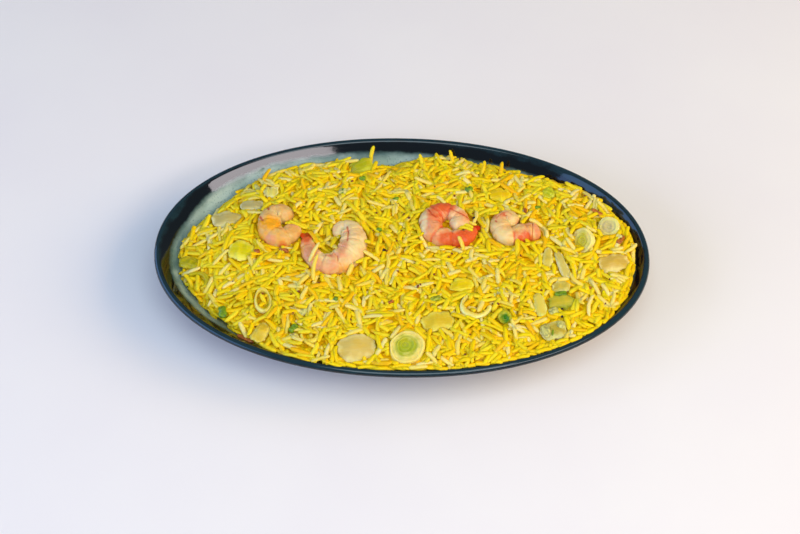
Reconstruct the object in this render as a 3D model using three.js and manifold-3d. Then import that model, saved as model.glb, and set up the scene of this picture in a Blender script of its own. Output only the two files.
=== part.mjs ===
// Yellow fried rice with shrimps and spring onion, served in an oval stoneware dish.
// Millimetres, +Z up, +X along the dish. The origin is on the table under the dish's middle.

import * as THREE from "three";
import { ConvexGeometry } from "three/addons/geometries/ConvexGeometry.js";
import { ConvexHull } from "three/addons/math/ConvexHull.js";
import { mergeVertices } from "three/addons/utils/BufferGeometryUtils.js";
import Module from "manifold-3d";

const wasm = await Module();
wasm.setup();

// Dish
const dishLength = 280; // over the lip
const dishWidth = 172;
const dishHeight = 36;
const dishSides = 48; // facets round the oval
const fullness = 2.06; // power of the oval's curve: 2 is an ellipse, and more is fuller
const lipRadius = 2.1; // the lip is a round bead
const floorHeight = 7; // inside, at the middle
const wellInset = 44; // from the lip in to the flat floor
const footInset = 42; // from the lip in to the foot ring
const footWidth = 4;
const footHeight = 2.6;
const footHollow = 1.8; // height of the underside inside the foot ring

// Rice
const crownHeight = 38.4; // the heap's middle, over the table
const crustHeight = 2.4; // a step of one grain at the heap's edge
const shoulderWidth = 46; // the heap climbs from its edge over this width
const grainLength = 11.3; // a cooked long grain
const grainWidth = 2.6;
const grainMost = 516; // bumps, each the size of a grain or of its end
const edgePoints = 96; // round the heap's outline
const ridgeHeight = 1.3; // of a grain's back over the heap's mean height
const dipSpacing = 2.9; // least distance between points in the dips
const seat = 0.6; // clearance of the heap over the dish, straight up
const bed = 0.4; // clearance of the heap round what is sunk into it
const coverMargin = 1.2; // no grain starts nearer than this to what lies on the heap

const degree = Math.PI / 180;
const halfLength = dishLength / 2;
const halfWidth = dishWidth / 2;
const lipInset = lipRadius * (1 + Math.SQRT1_2); // where the bead runs into the inner wall
const lipDrop = dishHeight - lipRadius * (1 - Math.SQRT1_2);

// Draws in 0..1 that are the same on every run
function seededDraws(seed) {
  let state = seed;
  return () => {
    state = (state + 0x6d2b79f5) | 0;
    let mixed = Math.imul(state ^ (state >>> 15), 1 | state);
    mixed = (mixed + Math.imul(mixed ^ (mixed >>> 7), 61 | mixed)) ^ mixed;
    return ((mixed ^ (mixed >>> 14)) >>> 0) / 4294967296;
  };
}

const signedPower = (value, power) => Math.sign(value) * Math.abs(value) ** power;

// A place is given by its inset from the lip and its angle round the oval
function ovalPoint(inset, angle, height) {
  const x = (halfLength - inset) * signedPower(Math.cos(angle), 2 / fullness);
  const y = (halfWidth - inset) * signedPower(Math.sin(angle), 2 / fullness);
  return new THREE.Vector3(x, y, height);
}

// The inset and angle of a place in the plan, by halving the range of insets
function ovalPlace(x, y) {
  let low = -20;
  let high = halfWidth - 1e-6;
  let angle = 0;
  for (let step = 0; step < 40; step++) {
    const inset = (low + high) / 2;
    const across = signedPower(x / (halfLength - inset), fullness / 2);
    const deep = signedPower(y / (halfWidth - inset), fullness / 2);
    angle = Math.atan2(deep, across);
    if (Math.hypot(across, deep) > 1) high = inset;
    else low = inset;
  }
  return { inset: low, angle };
}

// Dish: profile points are (inset, height)
function innerWall() {
  const start = new THREE.Vector2(lipInset, lipDrop);
  const end = new THREE.Vector2(wellInset, floorHeight);
  const steep = new THREE.Vector2(15, 24);
  const level = new THREE.Vector2(31, floorHeight);
  return new THREE.CubicBezierCurve(start, steep, level, end).getPoints(7);
}

function outerWall() {
  const start = new THREE.Vector2(footInset - 1.6, footHeight);
  const end = new THREE.Vector2(0, dishHeight - lipRadius);
  const level = new THREE.Vector2(28, 4);
  const steep = new THREE.Vector2(10, 19);
  return new THREE.CubicBezierCurve(start, level, steep, end).getPoints(6);
}

function lipBead() {
  const points = [];
  for (let turn = 45; turn < 135; turn += 45) {
    const x = lipRadius * (1 - Math.cos(turn * degree));
    points.push(new THREE.Vector2(x, dishHeight - lipRadius * (1 - Math.sin(turn * degree))));
  }
  return points;
}

function footRing() {
  return [
    new THREE.Vector2(footInset + footWidth + 1.4, footHollow),
    new THREE.Vector2(footInset + footWidth, 0),
    new THREE.Vector2(footInset, 0),
  ];
}

// A round dish is turned on a lathe, then pressed: each ring becomes an oval of the same inset
function pressToOval(geometry) {
  const place = geometry.attributes.position;
  for (let i = 0; i < place.count; i++) {
    const inset = halfLength - Math.hypot(place.getX(i), place.getY(i));
    if (inset > halfWidth) continue;
    const { x, y } = ovalPoint(inset, Math.atan2(place.getY(i), place.getX(i)), 0);
    place.setXY(i, x, y);
  }
}

function makeDish() {
  const profile = [...footRing(), ...outerWall(), ...lipBead(), ...innerWall()];
  const outline = profile.map((point) => new THREE.Vector2(halfLength - point.x, point.y));
  outline.unshift(new THREE.Vector2(0, footHollow));
  outline.push(new THREE.Vector2(0, floorHeight));
  const geometry = new THREE.LatheGeometry(outline, dishSides);
  geometry.rotateX(90 * degree);
  pressToOval(geometry);
  return geometry;
}

// Height of the inner wall at an inset, along the facets
const wallPoints = innerWall();
function wallHeight(inset) {
  for (let i = 1; i < wallPoints.length; i++) {
    if (inset < wallPoints[i].x) {
      const from = wallPoints[i - 1];
      const share = (inset - from.x) / (wallPoints[i].x - from.x);
      return from.y + share * (wallPoints[i].y - from.y);
    }
  }
  return floorHeight;
}

// The heap's edge lies low on the wall at the -X end and reaches the lip along the -Y side
function edgeInset(angle) {
  const low = 3.2 * Math.cos(angle - 159 * degree);
  const ends = 1.3 * Math.cos(2 * (angle - 6 * degree));
  const lobes = 1.3 * Math.cos(3 * (angle + 40 * degree));
  return 8.7 + low + ends + lobes;
}

function unevenEdge(angle) {
  const broad = 0.8 * Math.sin(9 * angle + 1) + 0.6 * Math.sin(14 * angle + 2.2);
  const fine = 0.5 * Math.sin(23 * angle);
  return Math.max(edgeInset(angle) + broad + fine, lipInset + 0.8);
}

function swell(x, y) {
  const hummocks = 0.7 * Math.sin(x / 17 + 1.3) * Math.cos(y / 14 - 0.6);
  return hummocks + 0.5 * Math.sin((x + 2 * y) / 21 + 0.5);
}

function fromEdge(x, y) {
  const { inset, angle } = ovalPlace(x, y);
  return inset - unevenEdge(angle);
}

// Mean height of the heap over a place in the plan: a step at the edge, then a rounded shoulder
function heapHeight(x, y) {
  const { inset, angle } = ovalPlace(x, y);
  const edge = edgeInset(angle);
  const base = wallHeight(edge) + seat;
  const inward = Math.max(inset - edge, 0);
  const rise = Math.sin(90 * degree * Math.min(inward / shoulderWidth, 1));
  const step = crustHeight * (1 - Math.exp(-inward / 1.5));
  return base + step + (crownHeight - base - crustHeight + swell(x, y)) * rise;
}

// Solids: joins and cuts
function solidOf(geometry) {
  const bare = geometry.index ? geometry.toNonIndexed() : geometry.clone();
  bare.deleteAttribute("normal");
  bare.deleteAttribute("uv");
  const merged = mergeVertices(bare, 1e-4);
  const vertProperties = new Float32Array(merged.attributes.position.array);
  const triVerts = new Uint32Array(merged.index.array);
  return new wasm.Manifold(new wasm.Mesh({ numProp: 3, vertProperties, triVerts }));
}

function geometryOf(solid) {
  const mesh = solid.getMesh();
  const geometry = new THREE.BufferGeometry();
  geometry.setAttribute("position", new THREE.BufferAttribute(mesh.vertProperties.slice(), 3));
  geometry.setIndex(new THREE.BufferAttribute(mesh.triVerts.slice(), 1));
  geometry.computeVertexNormals();
  return geometry;
}

function faceted(points, faces) {
  const geometry = new THREE.BufferGeometry();
  const coordinates = points.flatMap((point) => [point.x, point.y, point.z]);
  geometry.setAttribute("position", new THREE.Float32BufferAttribute(coordinates, 3));
  geometry.setIndex(faces.flat());
  return geometry;
}

// A closed bar through stations {centre, across, up, width, height}; the ends come to a low point
function sweepBar(stations, sides, endRound, startTurn = 0) {
  const points = [];
  const faces = [];
  for (const { centre, across, up, width, height } of stations) {
    for (let side = 0; side < sides; side++) {
      const turn = startTurn + (side / sides) * 2 * Math.PI;
      const point = centre.clone().addScaledVector(across, Math.cos(turn) * width);
      points.push(point.addScaledVector(up, Math.sin(turn) * height));
    }
  }
  const count = stations.length;
  for (let row = 0; row < count - 1; row++) {
    for (let side = 0; side < sides; side++) {
      const near = row * sides + side;
      const next = row * sides + ((side + 1) % sides);
      faces.push([near, near + sides, next], [next, near + sides, next + sides]);
    }
  }
  const first = stations[0];
  const last = stations[count - 1];
  const startDirection = first.centre.clone().sub(stations[1].centre).normalize();
  const endDirection = last.centre.clone().sub(stations[count - 2].centre).normalize();
  points.push(first.centre.clone().addScaledVector(startDirection, endRound));
  points.push(last.centre.clone().addScaledVector(endDirection, endRound));
  const start = count * sides;
  for (let side = 0; side < sides; side++) {
    const next = (side + 1) % sides;
    const row = (count - 1) * sides;
    faces.push([start, side, next], [start + 1, row + next, row + side]);
  }
  return faceted(points, faces);
}

// Shrimps: each lies on its side, curled up, from its neck to its tail
const shrimpSides = 8;
const shrimpPieces = 13; // joined at rings that swell and nip in by turns
const shrimpLift = 0.2; // over the heap's mean height
const shrimpFlatness = 0.82; // height of the body over its depth
const shrimpRaise = 0.3; // of half the body's depth, from its bed up to its line
const pieceTip = 0.4; // by which a piece's end reaches into the next piece
const shrimps = [
  {
    name: "left",
    line: [
      [-65, 16, 5], // x, y and half the body's depth
      [-68, 19.5, 6.2],
      [-73.2, 19, 6.8],
      [-75.5, 12.5, 7],
      [-73, 5.5, 6.8],
      [-67.5, 3.8, 6.4],
      [-63.2, 6.5, 5.6],
      [-61.8, 12, 5],
    ],
  },
  {
    name: "middle",
    line: [
      [-35, 5, 3.6],
      [-35, 10.5, 4.4],
      [-30, 10.5, 6],
      [-27, 3, 7.6],
      [-29, -7.5, 8],
      [-36, -14.2, 7.4],
      [-43, -15, 6.6],
      [-49.5, -9.5, 5.6],
      [-52.5, -1.5, 4.4],
      [-53.5, 4.5, 3],
    ],
  },
  {
    name: "centre",
    line: [
      [27.5, 13.5, 4.6],
      [33, 16.5, 5.4],
      [30.5, 22, 5.4],
      [23, 24, 5.8],
      [17.2, 19, 6.6],
      [16.8, 11, 6.8],
      [22, 5.8, 6.2],
      [29.5, 5, 5.4],
      [36.5, 6.5, 4.8],
      [40.5, 13.5, 3.2],
    ],
  },
  {
    name: "right",
    line: [
      [64.5, 16, 5.4],
      [60.5, 20, 5.8],
      [57, 18.2, 6.2],
      [56.3, 13, 6.4],
      [59, 8.8, 6.2],
      [63.5, 8.8, 5.8],
      [68.5, 10.5, 5.8],
      [73.5, 12, 5.8],
      [78, 14, 4.2],
    ],
  },
];

// A smooth line through the points, with half the body's depth as its third coordinate
function shrimpLine({ line }) {
  const points = line.map(([x, y, half]) => new THREE.Vector3(x, y, half));
  return new THREE.CatmullRomCurve3(points, false, "catmullrom", 0.5);
}

// A ring round the body, square to its line, with the low tips that end a piece before or after it
function shrimpRing(curve, i, grow, bedHeight) {
  const { x, y, z: half } = curve.getPoint(i / shrimpPieces);
  const direction = curve.getTangent(i / shrimpPieces).setZ(0).normalize();
  const swell = i % 2 ? 1 : 0.94;
  const width = half * swell + grow;
  const height = half * swell * shrimpFlatness + grow;
  const centre = new THREE.Vector3(x, y, bedHeight + shrimpRaise * half);
  if (i === 0) centre.addScaledVector(direction, -grow);
  if (i === shrimpPieces) centre.addScaledVector(direction, grow);
  const points = [];
  for (let side = 0; side < shrimpSides; side++) {
    const spin = ((side + 0.5) / shrimpSides) * 2 * Math.PI;
    const out = Math.cos(spin) * width;
    const offset = new THREE.Vector3(direction.y * out, -direction.x * out, Math.sin(spin) * height);
    points.push(centre.clone().add(offset));
  }
  const tips = [-pieceTip, pieceTip].map((step) => centre.clone().addScaledVector(direction, step));
  return { points, before: tips[0], after: tips[1] };
}

// The body is joined from short pieces, each hulled round two rings, as its curl closes on itself
function makeShrimp(shrimp, grow) {
  const curve = shrimpLine(shrimp);
  const middle = new THREE.Box3().setFromPoints(curve.points).getCenter(new THREE.Vector3());
  const bedHeight = heapHeight(middle.x, middle.y) + shrimpLift;
  const ringAt = (i) => shrimpRing(curve, i, grow, bedHeight);
  let body = null;
  for (let i = 0; i < shrimpPieces; i++) {
    const from = ringAt(i);
    const to = ringAt(i + 1);
    const hull = new ConvexGeometry([...from.points, ...to.points, from.before, to.after]);
    body = body ? body.add(solidOf(hull)) : solidOf(hull);
  }
  return body;
}

// Spring onion: round slices, rings cut open or whole, and curved petals of loose layers
const onions = [
  { name: "slice_front", form: "slice", x: 5, y: -70, across: 19, thick: 4, lean: 14 },
  { name: "half_front", form: "petal", x: -22, y: -70, along: 21, across: 17, bend: 15, lean: 12, turn: 8 },
  { name: "crescent", form: "arc", x: 42, y: -40.8, radius: 7.6, strip: 3.4, sweep: 235, turn: -118 },
  { name: "green_stub", form: "slice", x: 57, y: -47, across: 7.4, thick: 10, lean: 52, turn: 10 },
  { name: "green_rim", form: "petal", x: 88.5, y: -36, along: 14, across: 11, bend: 7, turn: 12 },
  { name: "petal_right_front", form: "petal", x: 76.5, y: -39, along: 15, across: 8, bend: 6, turn: 100 },
  { name: "clear_right_front", form: "petal", x: 84, y: -55, along: 15, across: 12, bend: 11, turn: 25 },
  { name: "stub_right", form: "slice", x: 117.8, y: 17, across: 12, thick: 6, lean: 28, turn: -35 },
  { name: "slice_right", form: "slice", x: 102.5, y: 6, across: 14.5, thick: 3.4, lean: 48, turn: -62 },
  { name: "shell_right", form: "petal", x: 119, y: -7.5, along: 17, across: 13, bend: 10, turn: 10 },
  { name: "strip_pale", form: "petal", x: 82, y: -7.5, along: 16, across: 6, bend: 6, turn: 84 },
  { name: "strip_spoon", form: "petal", x: 90, y: -10.8, along: 21, across: 5.6, bend: 5, turn: 104 },
  { name: "clear_end", form: "petal", x: 89, y: -26.6, along: 10, across: 8, bend: 8, turn: 10 },
  { name: "skin_front", form: "petal", x: 21, y: -52, along: 18, across: 13, bend: 22, turn: 15 },
  { name: "ring_left", form: "ring", x: -75, y: -40, radius: 7, strip: 2.4, narrow: 0.6, turn: 98, lean: 9 },
  { name: "curl_left", form: "arc", x: -48, y: -62, radius: 4.4, strip: 2.6, sweep: 260, turn: -60 },
  { name: "half_left", form: "petal", x: -75, y: -59, along: 13, across: 9, bend: 8, turn: 70 },
  { name: "clear_back_left", form: "petal", x: -101, y: 19, along: 17, across: 11, bend: 11, turn: 12 },
  { name: "clear_back", form: "petal", x: -87, y: 28.7, along: 14, across: 8, bend: 9, turn: 5 },
  { name: "square_yellow", form: "petal", x: -90, y: -6, along: 14, across: 14, bend: 24, turn: -12 },
  { name: "leaf_left", form: "petal", x: -119.2, y: -9.5, along: 13, across: 9, bend: 12, turn: -18 },
  { name: "arc_left", form: "arc", x: -114.5, y: -23, radius: 6, strip: 3, sweep: 200, turn: 40 },
  { name: "leaf_back", form: "petal", x: -26, y: 62, along: 15, across: 11, bend: 9, turn: 20, roll: 14 },
  { name: "green_back_right", form: "petal", x: 84, y: 42, along: 9, across: 9, bend: 6, turn: 60 },
  { name: "yellow_back", form: "petal", x: 56, y: 39, along: 12, across: 10, bend: 14, turn: 8 },
  { name: "yellow_middle", form: "petal", x: 34, y: -27, along: 13, across: 9, bend: 13, turn: 14 },
  { name: "white_back", form: "petal", x: -77, y: 39, along: 8.5, across: 9, bend: 12, turn: -8 },
];
const petalThick = 1.7;
const arcHeight = 2.8;

function makeSlice({ across, thick }, grow) {
  const radius = across / 2 + grow;
  const half = thick / 2 + grow;
  const edge = radius - 0.7;
  const outline = [[0, -half], [edge, -half], [radius, 0], [edge, half], [0, half]];
  const geometry = new THREE.LatheGeometry(outline.map(([x, y]) => new THREE.Vector2(x, y)), 12);
  return geometry.rotateX(90 * degree);
}

// A bar bent round an oval; it thins to half its width at the tips of an open arc
function makeArc({ radius, strip, sweep, narrow = 1 }, grow) {
  const steps = Math.ceil(sweep / 32);
  const stations = [];
  for (let i = 0; i <= steps; i++) {
    const turn = (i / steps - 0.5) * sweep * degree;
    const tip = 1 - 0.5 * Math.abs(2 * (i / steps) - 1) ** 2;
    const centre = new THREE.Vector3(radius * Math.cos(turn), radius * narrow * Math.sin(turn), 0);
    const across = new THREE.Vector3(Math.cos(turn), Math.sin(turn), 0);
    const width = ((strip / 2) * tip + grow) * Math.SQRT2;
    const height = (arcHeight / 2 + grow) * Math.SQRT2;
    stations.push({ centre, across, up: new THREE.Vector3(0, 0, 1), width, height });
  }
  return sweepBar(stations, 4, 0.4 + grow, 45 * degree);
}

// A ring is a square-sectioned hoop, pressed narrower across
function makeRing({ radius, strip, narrow }, grow) {
  const inner = radius - strip / 2 - grow;
  const outer = radius + strip / 2 + grow;
  const half = arcHeight / 2 + grow;
  const outline = [[inner, -half], [outer, -half], [outer, half], [inner, half], [inner, -half]];
  const geometry = new THREE.LatheGeometry(outline.map(([x, y]) => new THREE.Vector2(x, y)), 14);
  geometry.rotateX(90 * degree);
  return geometry.scale(1, narrow + (strip * (1 - narrow)) / outer, 1);
}

// A layer of the bulb: a sheet bent round a tube of radius bend, narrower at both ends
function makePetal({ along, across, bend }) {
  const columns = 3;
  const rows = 3;
  const points = [];
  const faces = [];
  const corner = (layer, row, column) => (layer * (rows + 1) + row) * (columns + 1) + column;
  const opening = across / 2 / bend;
  for (const layer of [1, -1]) {
    for (let row = 0; row <= rows; row++) {
      for (let column = 0; column <= columns; column++) {
        const u = (2 * row) / rows - 1;
        const v = (2 * column) / columns - 1;
        const turn = v * opening * (1 - 0.38 * u * u);
        const radius = bend + layer * (petalThick / 2);
        const height = radius * Math.cos(turn) - bend * Math.cos(opening * 0.6) - (u * u * along) / 14;
        points.push(new THREE.Vector3((u * along) / 2, radius * Math.sin(turn), height));
      }
    }
  }
  const quad = (a, b, c, d) => faces.push([a, b, c], [a, c, d]);
  for (let row = 0; row < rows; row++) {
    for (let column = 0; column < columns; column++) {
      const top = [corner(0, row, column), corner(0, row + 1, column)];
      const low = [corner(1, row, column), corner(1, row + 1, column)];
      quad(top[0], top[1], top[1] + 1, top[0] + 1);
      quad(low[0], low[0] + 1, low[1] + 1, low[1]);
    }
    quad(corner(1, row, 0), corner(1, row + 1, 0), corner(0, row + 1, 0), corner(0, row, 0));
    const end = columns;
    quad(corner(1, row + 1, end), corner(1, row, end), corner(0, row, end), corner(0, row + 1, end));
  }
  for (let column = 0; column < columns; column++) {
    quad(corner(1, 0, column + 1), corner(1, 0, column), corner(0, 0, column), corner(0, 0, column + 1));
    const last = rows;
    quad(
      corner(1, last, column),
      corner(1, last, column + 1),
      corner(0, last, column + 1),
      corner(0, last, column),
    );
  }
  return faceted(points, faces);
}

const onionForms = { slice: makeSlice, arc: makeArc, ring: makeRing, petal: makePetal };
const onionLift = { slice: 0.9, arc: 1.2, ring: 1.6, petal: 1.5 };

function layOnion(geometry, { form, x, y, turn = 0, lean = 0, roll = 0 }) {
  const facing = new THREE.Euler(lean * degree, -roll * degree, turn * degree, "ZYX");
  geometry.applyMatrix4(new THREE.Matrix4().makeRotationFromEuler(facing));
  return geometry.translate(x, y, heapHeight(x, y) + onionLift[form]);
}

// The hollow for a petal is a plain pit round it, and for the others their own form, grown
function makeHollow(onion) {
  if (onion.form !== "petal") return layOnion(onionForms[onion.form](onion, bed), onion);
  const petal = makePetal(onion);
  petal.computeBoundingBox();
  const { min, max } = petal.boundingBox;
  const pit = new THREE.BoxGeometry(max.x - min.x + 2 * bed, max.y - min.y + 2 * bed, max.z - min.z + 4);
  pit.translate(0, (min.y + max.y) / 2, (min.z + max.z) / 2 + 2 - bed);
  return layOnion(pit, onion);
}

// The plan that a topping covers, as discs: the heap has no bumps there
function coverOfOnion({ form, x, y, along, across, radius, sweep = 360, narrow = 1, turn = 0 }) {
  const spots = { slice: [[0, 0]], petal: [], arc: [], ring: [] }[form];
  const wide = form === "petal" || form === "slice";
  for (const end of [-1, -0.5, 0, 0.5, 1]) {
    if (form === "petal") spots.push([(end * Math.max(along - across, 0)) / 2, 0]);
    const bend = (end * sweep * degree) / 2;
    if (!wide) spots.push([radius * Math.cos(bend), radius * narrow * Math.sin(bend)]);
  }
  return spots.map(([u, v]) => ({
    x: x + u * Math.cos(turn * degree) - v * Math.sin(turn * degree),
    y: y + u * Math.sin(turn * degree) + v * Math.cos(turn * degree),
    radius: wide ? 0.56 * across + coverMargin : arcHeight / 2 + coverMargin,
  }));
}

function coverOfShrimp(shrimp) {
  const places = shrimpLine(shrimp).getPoints(shrimpPieces);
  return places.map(({ x, y, z: half }) => ({ x, y, radius: half + coverMargin }));
}

// Bits too small to be pieces of their own are part of the heap
const bits = [
  { x: 108, y: 28, along: 8, across: 2.4, turn: -38 }, // carrot
  { x: 122, y: 4, along: 7, across: 4, turn: 60 },
  { x: 114, y: -30, along: 5, across: 3, turn: 40 },
  { x: -80, y: -55, along: 11, across: 4.4, turn: -22 },
  { x: -97, y: -45, along: 8, across: 4.4, turn: 100 }, // green stalk
  { x: -24, y: 50, along: 5, across: 3.6, turn: 70 },
  { x: -4, y: 34, along: 3.6, across: 2.6, turn: 20 },
  { x: 38, y: 42, along: 5, across: 3.4, turn: 10 },
  { x: 77, y: 29, along: 4.6, across: 2, turn: 8 },
  { x: -35, y: 38, along: 4, across: 2.4, turn: 80 },
  { x: 20, y: -37, along: 6.5, across: 3.4, turn: 16 },
  { x: -57, y: -58, along: 6, across: 3.6, turn: 50 },
  { x: -34, y: -40, along: 4, across: 2, turn: 85 },
  { x: -13, y: 10, along: 3.4, across: 2.2, turn: 0 },
  { x: -51.5, y: -46, along: 8, across: 4.6, turn: 50 }, // clear onion
  { x: -80, y: 50, along: 12, across: 3, turn: -52 },
];

const bitHeight = 2.4; // of a bit's tip over its middle
const bitLift = 0.3;

function makeBit({ x, y, along, across, turn }) {
  const geometry = new THREE.OctahedronGeometry(1);
  geometry.scale(along / 2, across / 2, bitHeight);
  geometry.rotateZ(turn * degree);
  return geometry.translate(x, y, heapHeight(x, y) + bitLift);
}

// Grains are laid by seeded darts: each keeps a grain's width from the axes of the others
function spanDistance(px, py, grain) {
  const dx = grain.tip.x - grain.root.x;
  const dy = grain.tip.y - grain.root.y;
  const along = ((px - grain.root.x) * dx + (py - grain.root.y) * dy) / (dx * dx + dy * dy);
  const share = Math.min(Math.max(along, 0), 1);
  return Math.hypot(px - grain.root.x - share * dx, py - grain.root.y - share * dy);
}

function grainsCross(one, other) {
  const side = (from, to, p) => (to.x - from.x) * (p.y - from.y) - (to.y - from.y) * (p.x - from.x);
  const apart = side(one.root, one.tip, other.root) * side(one.root, one.tip, other.tip);
  const across = side(other.root, other.tip, one.root) * side(other.root, other.tip, one.tip);
  return apart < 0 && across < 0;
}

function grainsApart(one, other) {
  const spacing = 0.94 * grainWidth;
  if (Math.hypot(one.x - other.x, one.y - other.y) > grainLength + spacing) return true;
  const gaps = [
    spanDistance(one.root.x, one.root.y, other),
    spanDistance(one.tip.x, one.tip.y, other),
    spanDistance(other.root.x, other.root.y, one),
    spanDistance(other.tip.x, other.tip.y, one),
  ];
  return Math.min(...gaps) > spacing && !grainsCross(one, other);
}

function grainAt(x, y, turn, length) {
  const reach = 0.42 * length;
  const dx = Math.cos(turn);
  const dy = Math.sin(turn);
  const point = (along, aside) => ({ x: x + dx * along - dy * aside, y: y + dy * along + dx * aside });
  return { x, y, reach, point, root: point(-reach, 0), tip: point(reach, 0) };
}

function isCovered({ x, y }, cover) {
  return cover.some((disc) => Math.hypot(x - disc.x, y - disc.y) < disc.radius);
}

function layGrains(draw, cover) {
  const grains = [];
  // Whole grains come first, then those half hidden by others, then ends that peep out
  for (const [shown, darts] of [[1, 60000], [0.66, 40000], [0.4, 40000]]) {
    for (let dart = 0; dart < darts && grains.length < grainMost; dart++) {
      const x = (2 * draw() - 1) * halfLength;
      const y = (2 * draw() - 1) * halfWidth;
      const grain = grainAt(x, y, draw() * Math.PI, shown * grainLength * (0.85 + 0.25 * draw()));
      const inside = [grain.root, grain.tip].every((end) => fromEdge(end.x, end.y) > grainWidth);
      const along = [-1, -0.5, 0, 0.5, 1].map((end) => grain.point(end * grain.reach, 0));
      const isBare = inside && !along.some((place) => isCovered(place, cover));
      if (isBare && grains.every((other) => grainsApart(grain, other))) {
        grains.push(grain);
      }
    }
  }
  return grains;
}

// Points of the heap's top: the two ends of each grain's ridge, and shared ones in the dips
function ridgePoints(grains) {
  return grains.flatMap((grain) =>
    [grain.root, grain.tip].map(({ x, y }) => new THREE.Vector3(x, y, heapHeight(x, y) + ridgeHeight)),
  );
}

function dipPoints(grains, draw, cover) {
  const dips = [];
  const beside = [[0, 1], [0, -1], [1, 1], [-1, -1], [1, -1], [-1, 1], [0.5, 1], [-0.5, -1]];
  const pastEnds = [[1.4, 0], [-1.4, 0]];
  for (const [end, aside] of [...beside, ...pastEnds]) {
    for (const grain of grains) {
      const { x, y } = grain.point(end * grain.reach, aside * 0.52 * grainWidth);
      const others = grains.filter((other) => other !== grain);
      const onGrain = others.some((other) => spanDistance(x, y, other) < 0.42 * grainWidth);
      const onDip = dips.some((dip) => Math.hypot(x - dip.x, y - dip.y) < dipSpacing);
      if (!onGrain && !onDip && !isCovered({ x, y }, cover) && fromEdge(x, y) > grainWidth) {
        dips.push(new THREE.Vector3(x, y, heapHeight(x, y) - 0.5 - 0.4 * draw()));
      }
    }
  }
  return dips;
}

// The outline and a ring one grain's width inside it, where the step at the edge is nearly full
function edgeRing(count, inward) {
  const ring = [];
  const facet = (2 * Math.PI) / dishSides;
  for (let i = 0; i < count; i++) {
    const angle = (i / count) * 2 * Math.PI;
    const inset = unevenEdge(angle) + inward;
    const from = Math.floor(angle / facet + 1e-6) * facet;
    const start = ovalPoint(inset, from, 0);
    const place = start.lerp(ovalPoint(inset, from + facet, 0), (angle - from) / facet);
    const height = inward ? heapHeight(place.x, place.y) : wallHeight(inset) + seat;
    ring.push(place.setZ(height));
  }
  return ring;
}

// The plan is stretched until the uneven outline is a true oval, so that a hull of the points
// raised on a bowl joins them into well-shaped triangles that end exactly at the outline
function joinPoints(points) {
  const raised = points.map(({ x, y }, index) => {
    const { inset, angle } = ovalPlace(x, y);
    const edge = unevenEdge(angle);
    const onOutline = index < edgePoints;
    const turn = onOutline ? (index / edgePoints) * 2 * Math.PI : angle;
    const wide = onOutline ? 1 : (halfLength - inset) / (halfLength - edge);
    const deep = onOutline ? 1 : (halfWidth - inset) / (halfWidth - edge);
    const flat = ovalPoint(9, turn, 0).multiply(new THREE.Vector3(wide, deep, 1));
    const point = flat.setZ(flat.lengthSq() / halfLength);
    point.index = index;
    return point;
  });
  const hull = new ConvexHull().setFromPoints(raised);
  const faces = [];
  for (const face of hull.faces) {
    if (face.normal.z > -1e-6) continue;
    const edges = [face.edge, face.edge.next, face.edge.next.next];
    faces.push(edges.map((edge) => edge.head().point.index).reverse());
  }
  return faces;
}

// Twice the area of a triangle in the plan, positive where it runs anticlockwise
function turnOf(a, b, c) {
  return (b.x - a.x) * (c.y - a.y) - (c.x - a.x) * (b.y - a.y);
}

function spansCross(a, b, c, d) {
  return turnOf(a, b, c) * turnOf(a, b, d) < 0 && turnOf(c, d, a) * turnOf(c, d, b) < 0;
}

// Turns the shared edges of neighbouring triangles until each ridge is an edge of the sheet
function keepRidges(points, faces, ridges) {
  const sides = new Map();
  const edgeName = (a, b) => Math.min(a, b) * points.length + Math.max(a, b);
  const edgesOf = (face) => face.map((from, i) => edgeName(from, face[(i + 1) % 3]));
  const link = (face) => {
    for (const edge of edgesOf(face)) sides.set(edge, [...(sides.get(edge) ?? []), face]);
  };
  const unlink = (face) => {
    for (const edge of edgesOf(face)) {
      const left = sides.get(edge).filter((other) => other !== face);
      if (left.length) sides.set(edge, left);
      else sides.delete(edge);
    }
  };
  faces.forEach(link);

  for (const [from, to] of ridges) {
    const [start, end] = [points[from], points[to]];
    for (let round = 0; round < 80 && !sides.has(edgeName(from, to)); round++) {
      const turnable = [];
      for (const [edge, pair] of sides) {
        const shared = [Math.floor(edge / points.length), edge % points.length];
        const [a, b] = shared.map((corner) => points[corner]);
        if (pair.length < 2 || !spansCross(start, end, a, b)) continue;
        const [p, q] = pair.map((face) => face.find((corner) => !shared.includes(corner)));
        if (!spansCross(points[p], points[q], a, b)) continue;
        turnable.push({ pair, p, q, clear: !spansCross(start, end, points[p], points[q]) });
      }
      const { pair, p, q } = turnable.find(({ clear }) => clear) ?? turnable[round % turnable.length];
      const [one, other] = pair;
      const i = one.indexOf(p);
      const [u, v] = [one[(i + 1) % 3], one[(i + 2) % 3]];
      unlink(one);
      unlink(other);
      one.splice(0, 3, p, u, q);
      other.splice(0, 3, p, q, v);
      link(one);
      link(other);
    }
  }
}

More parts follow.
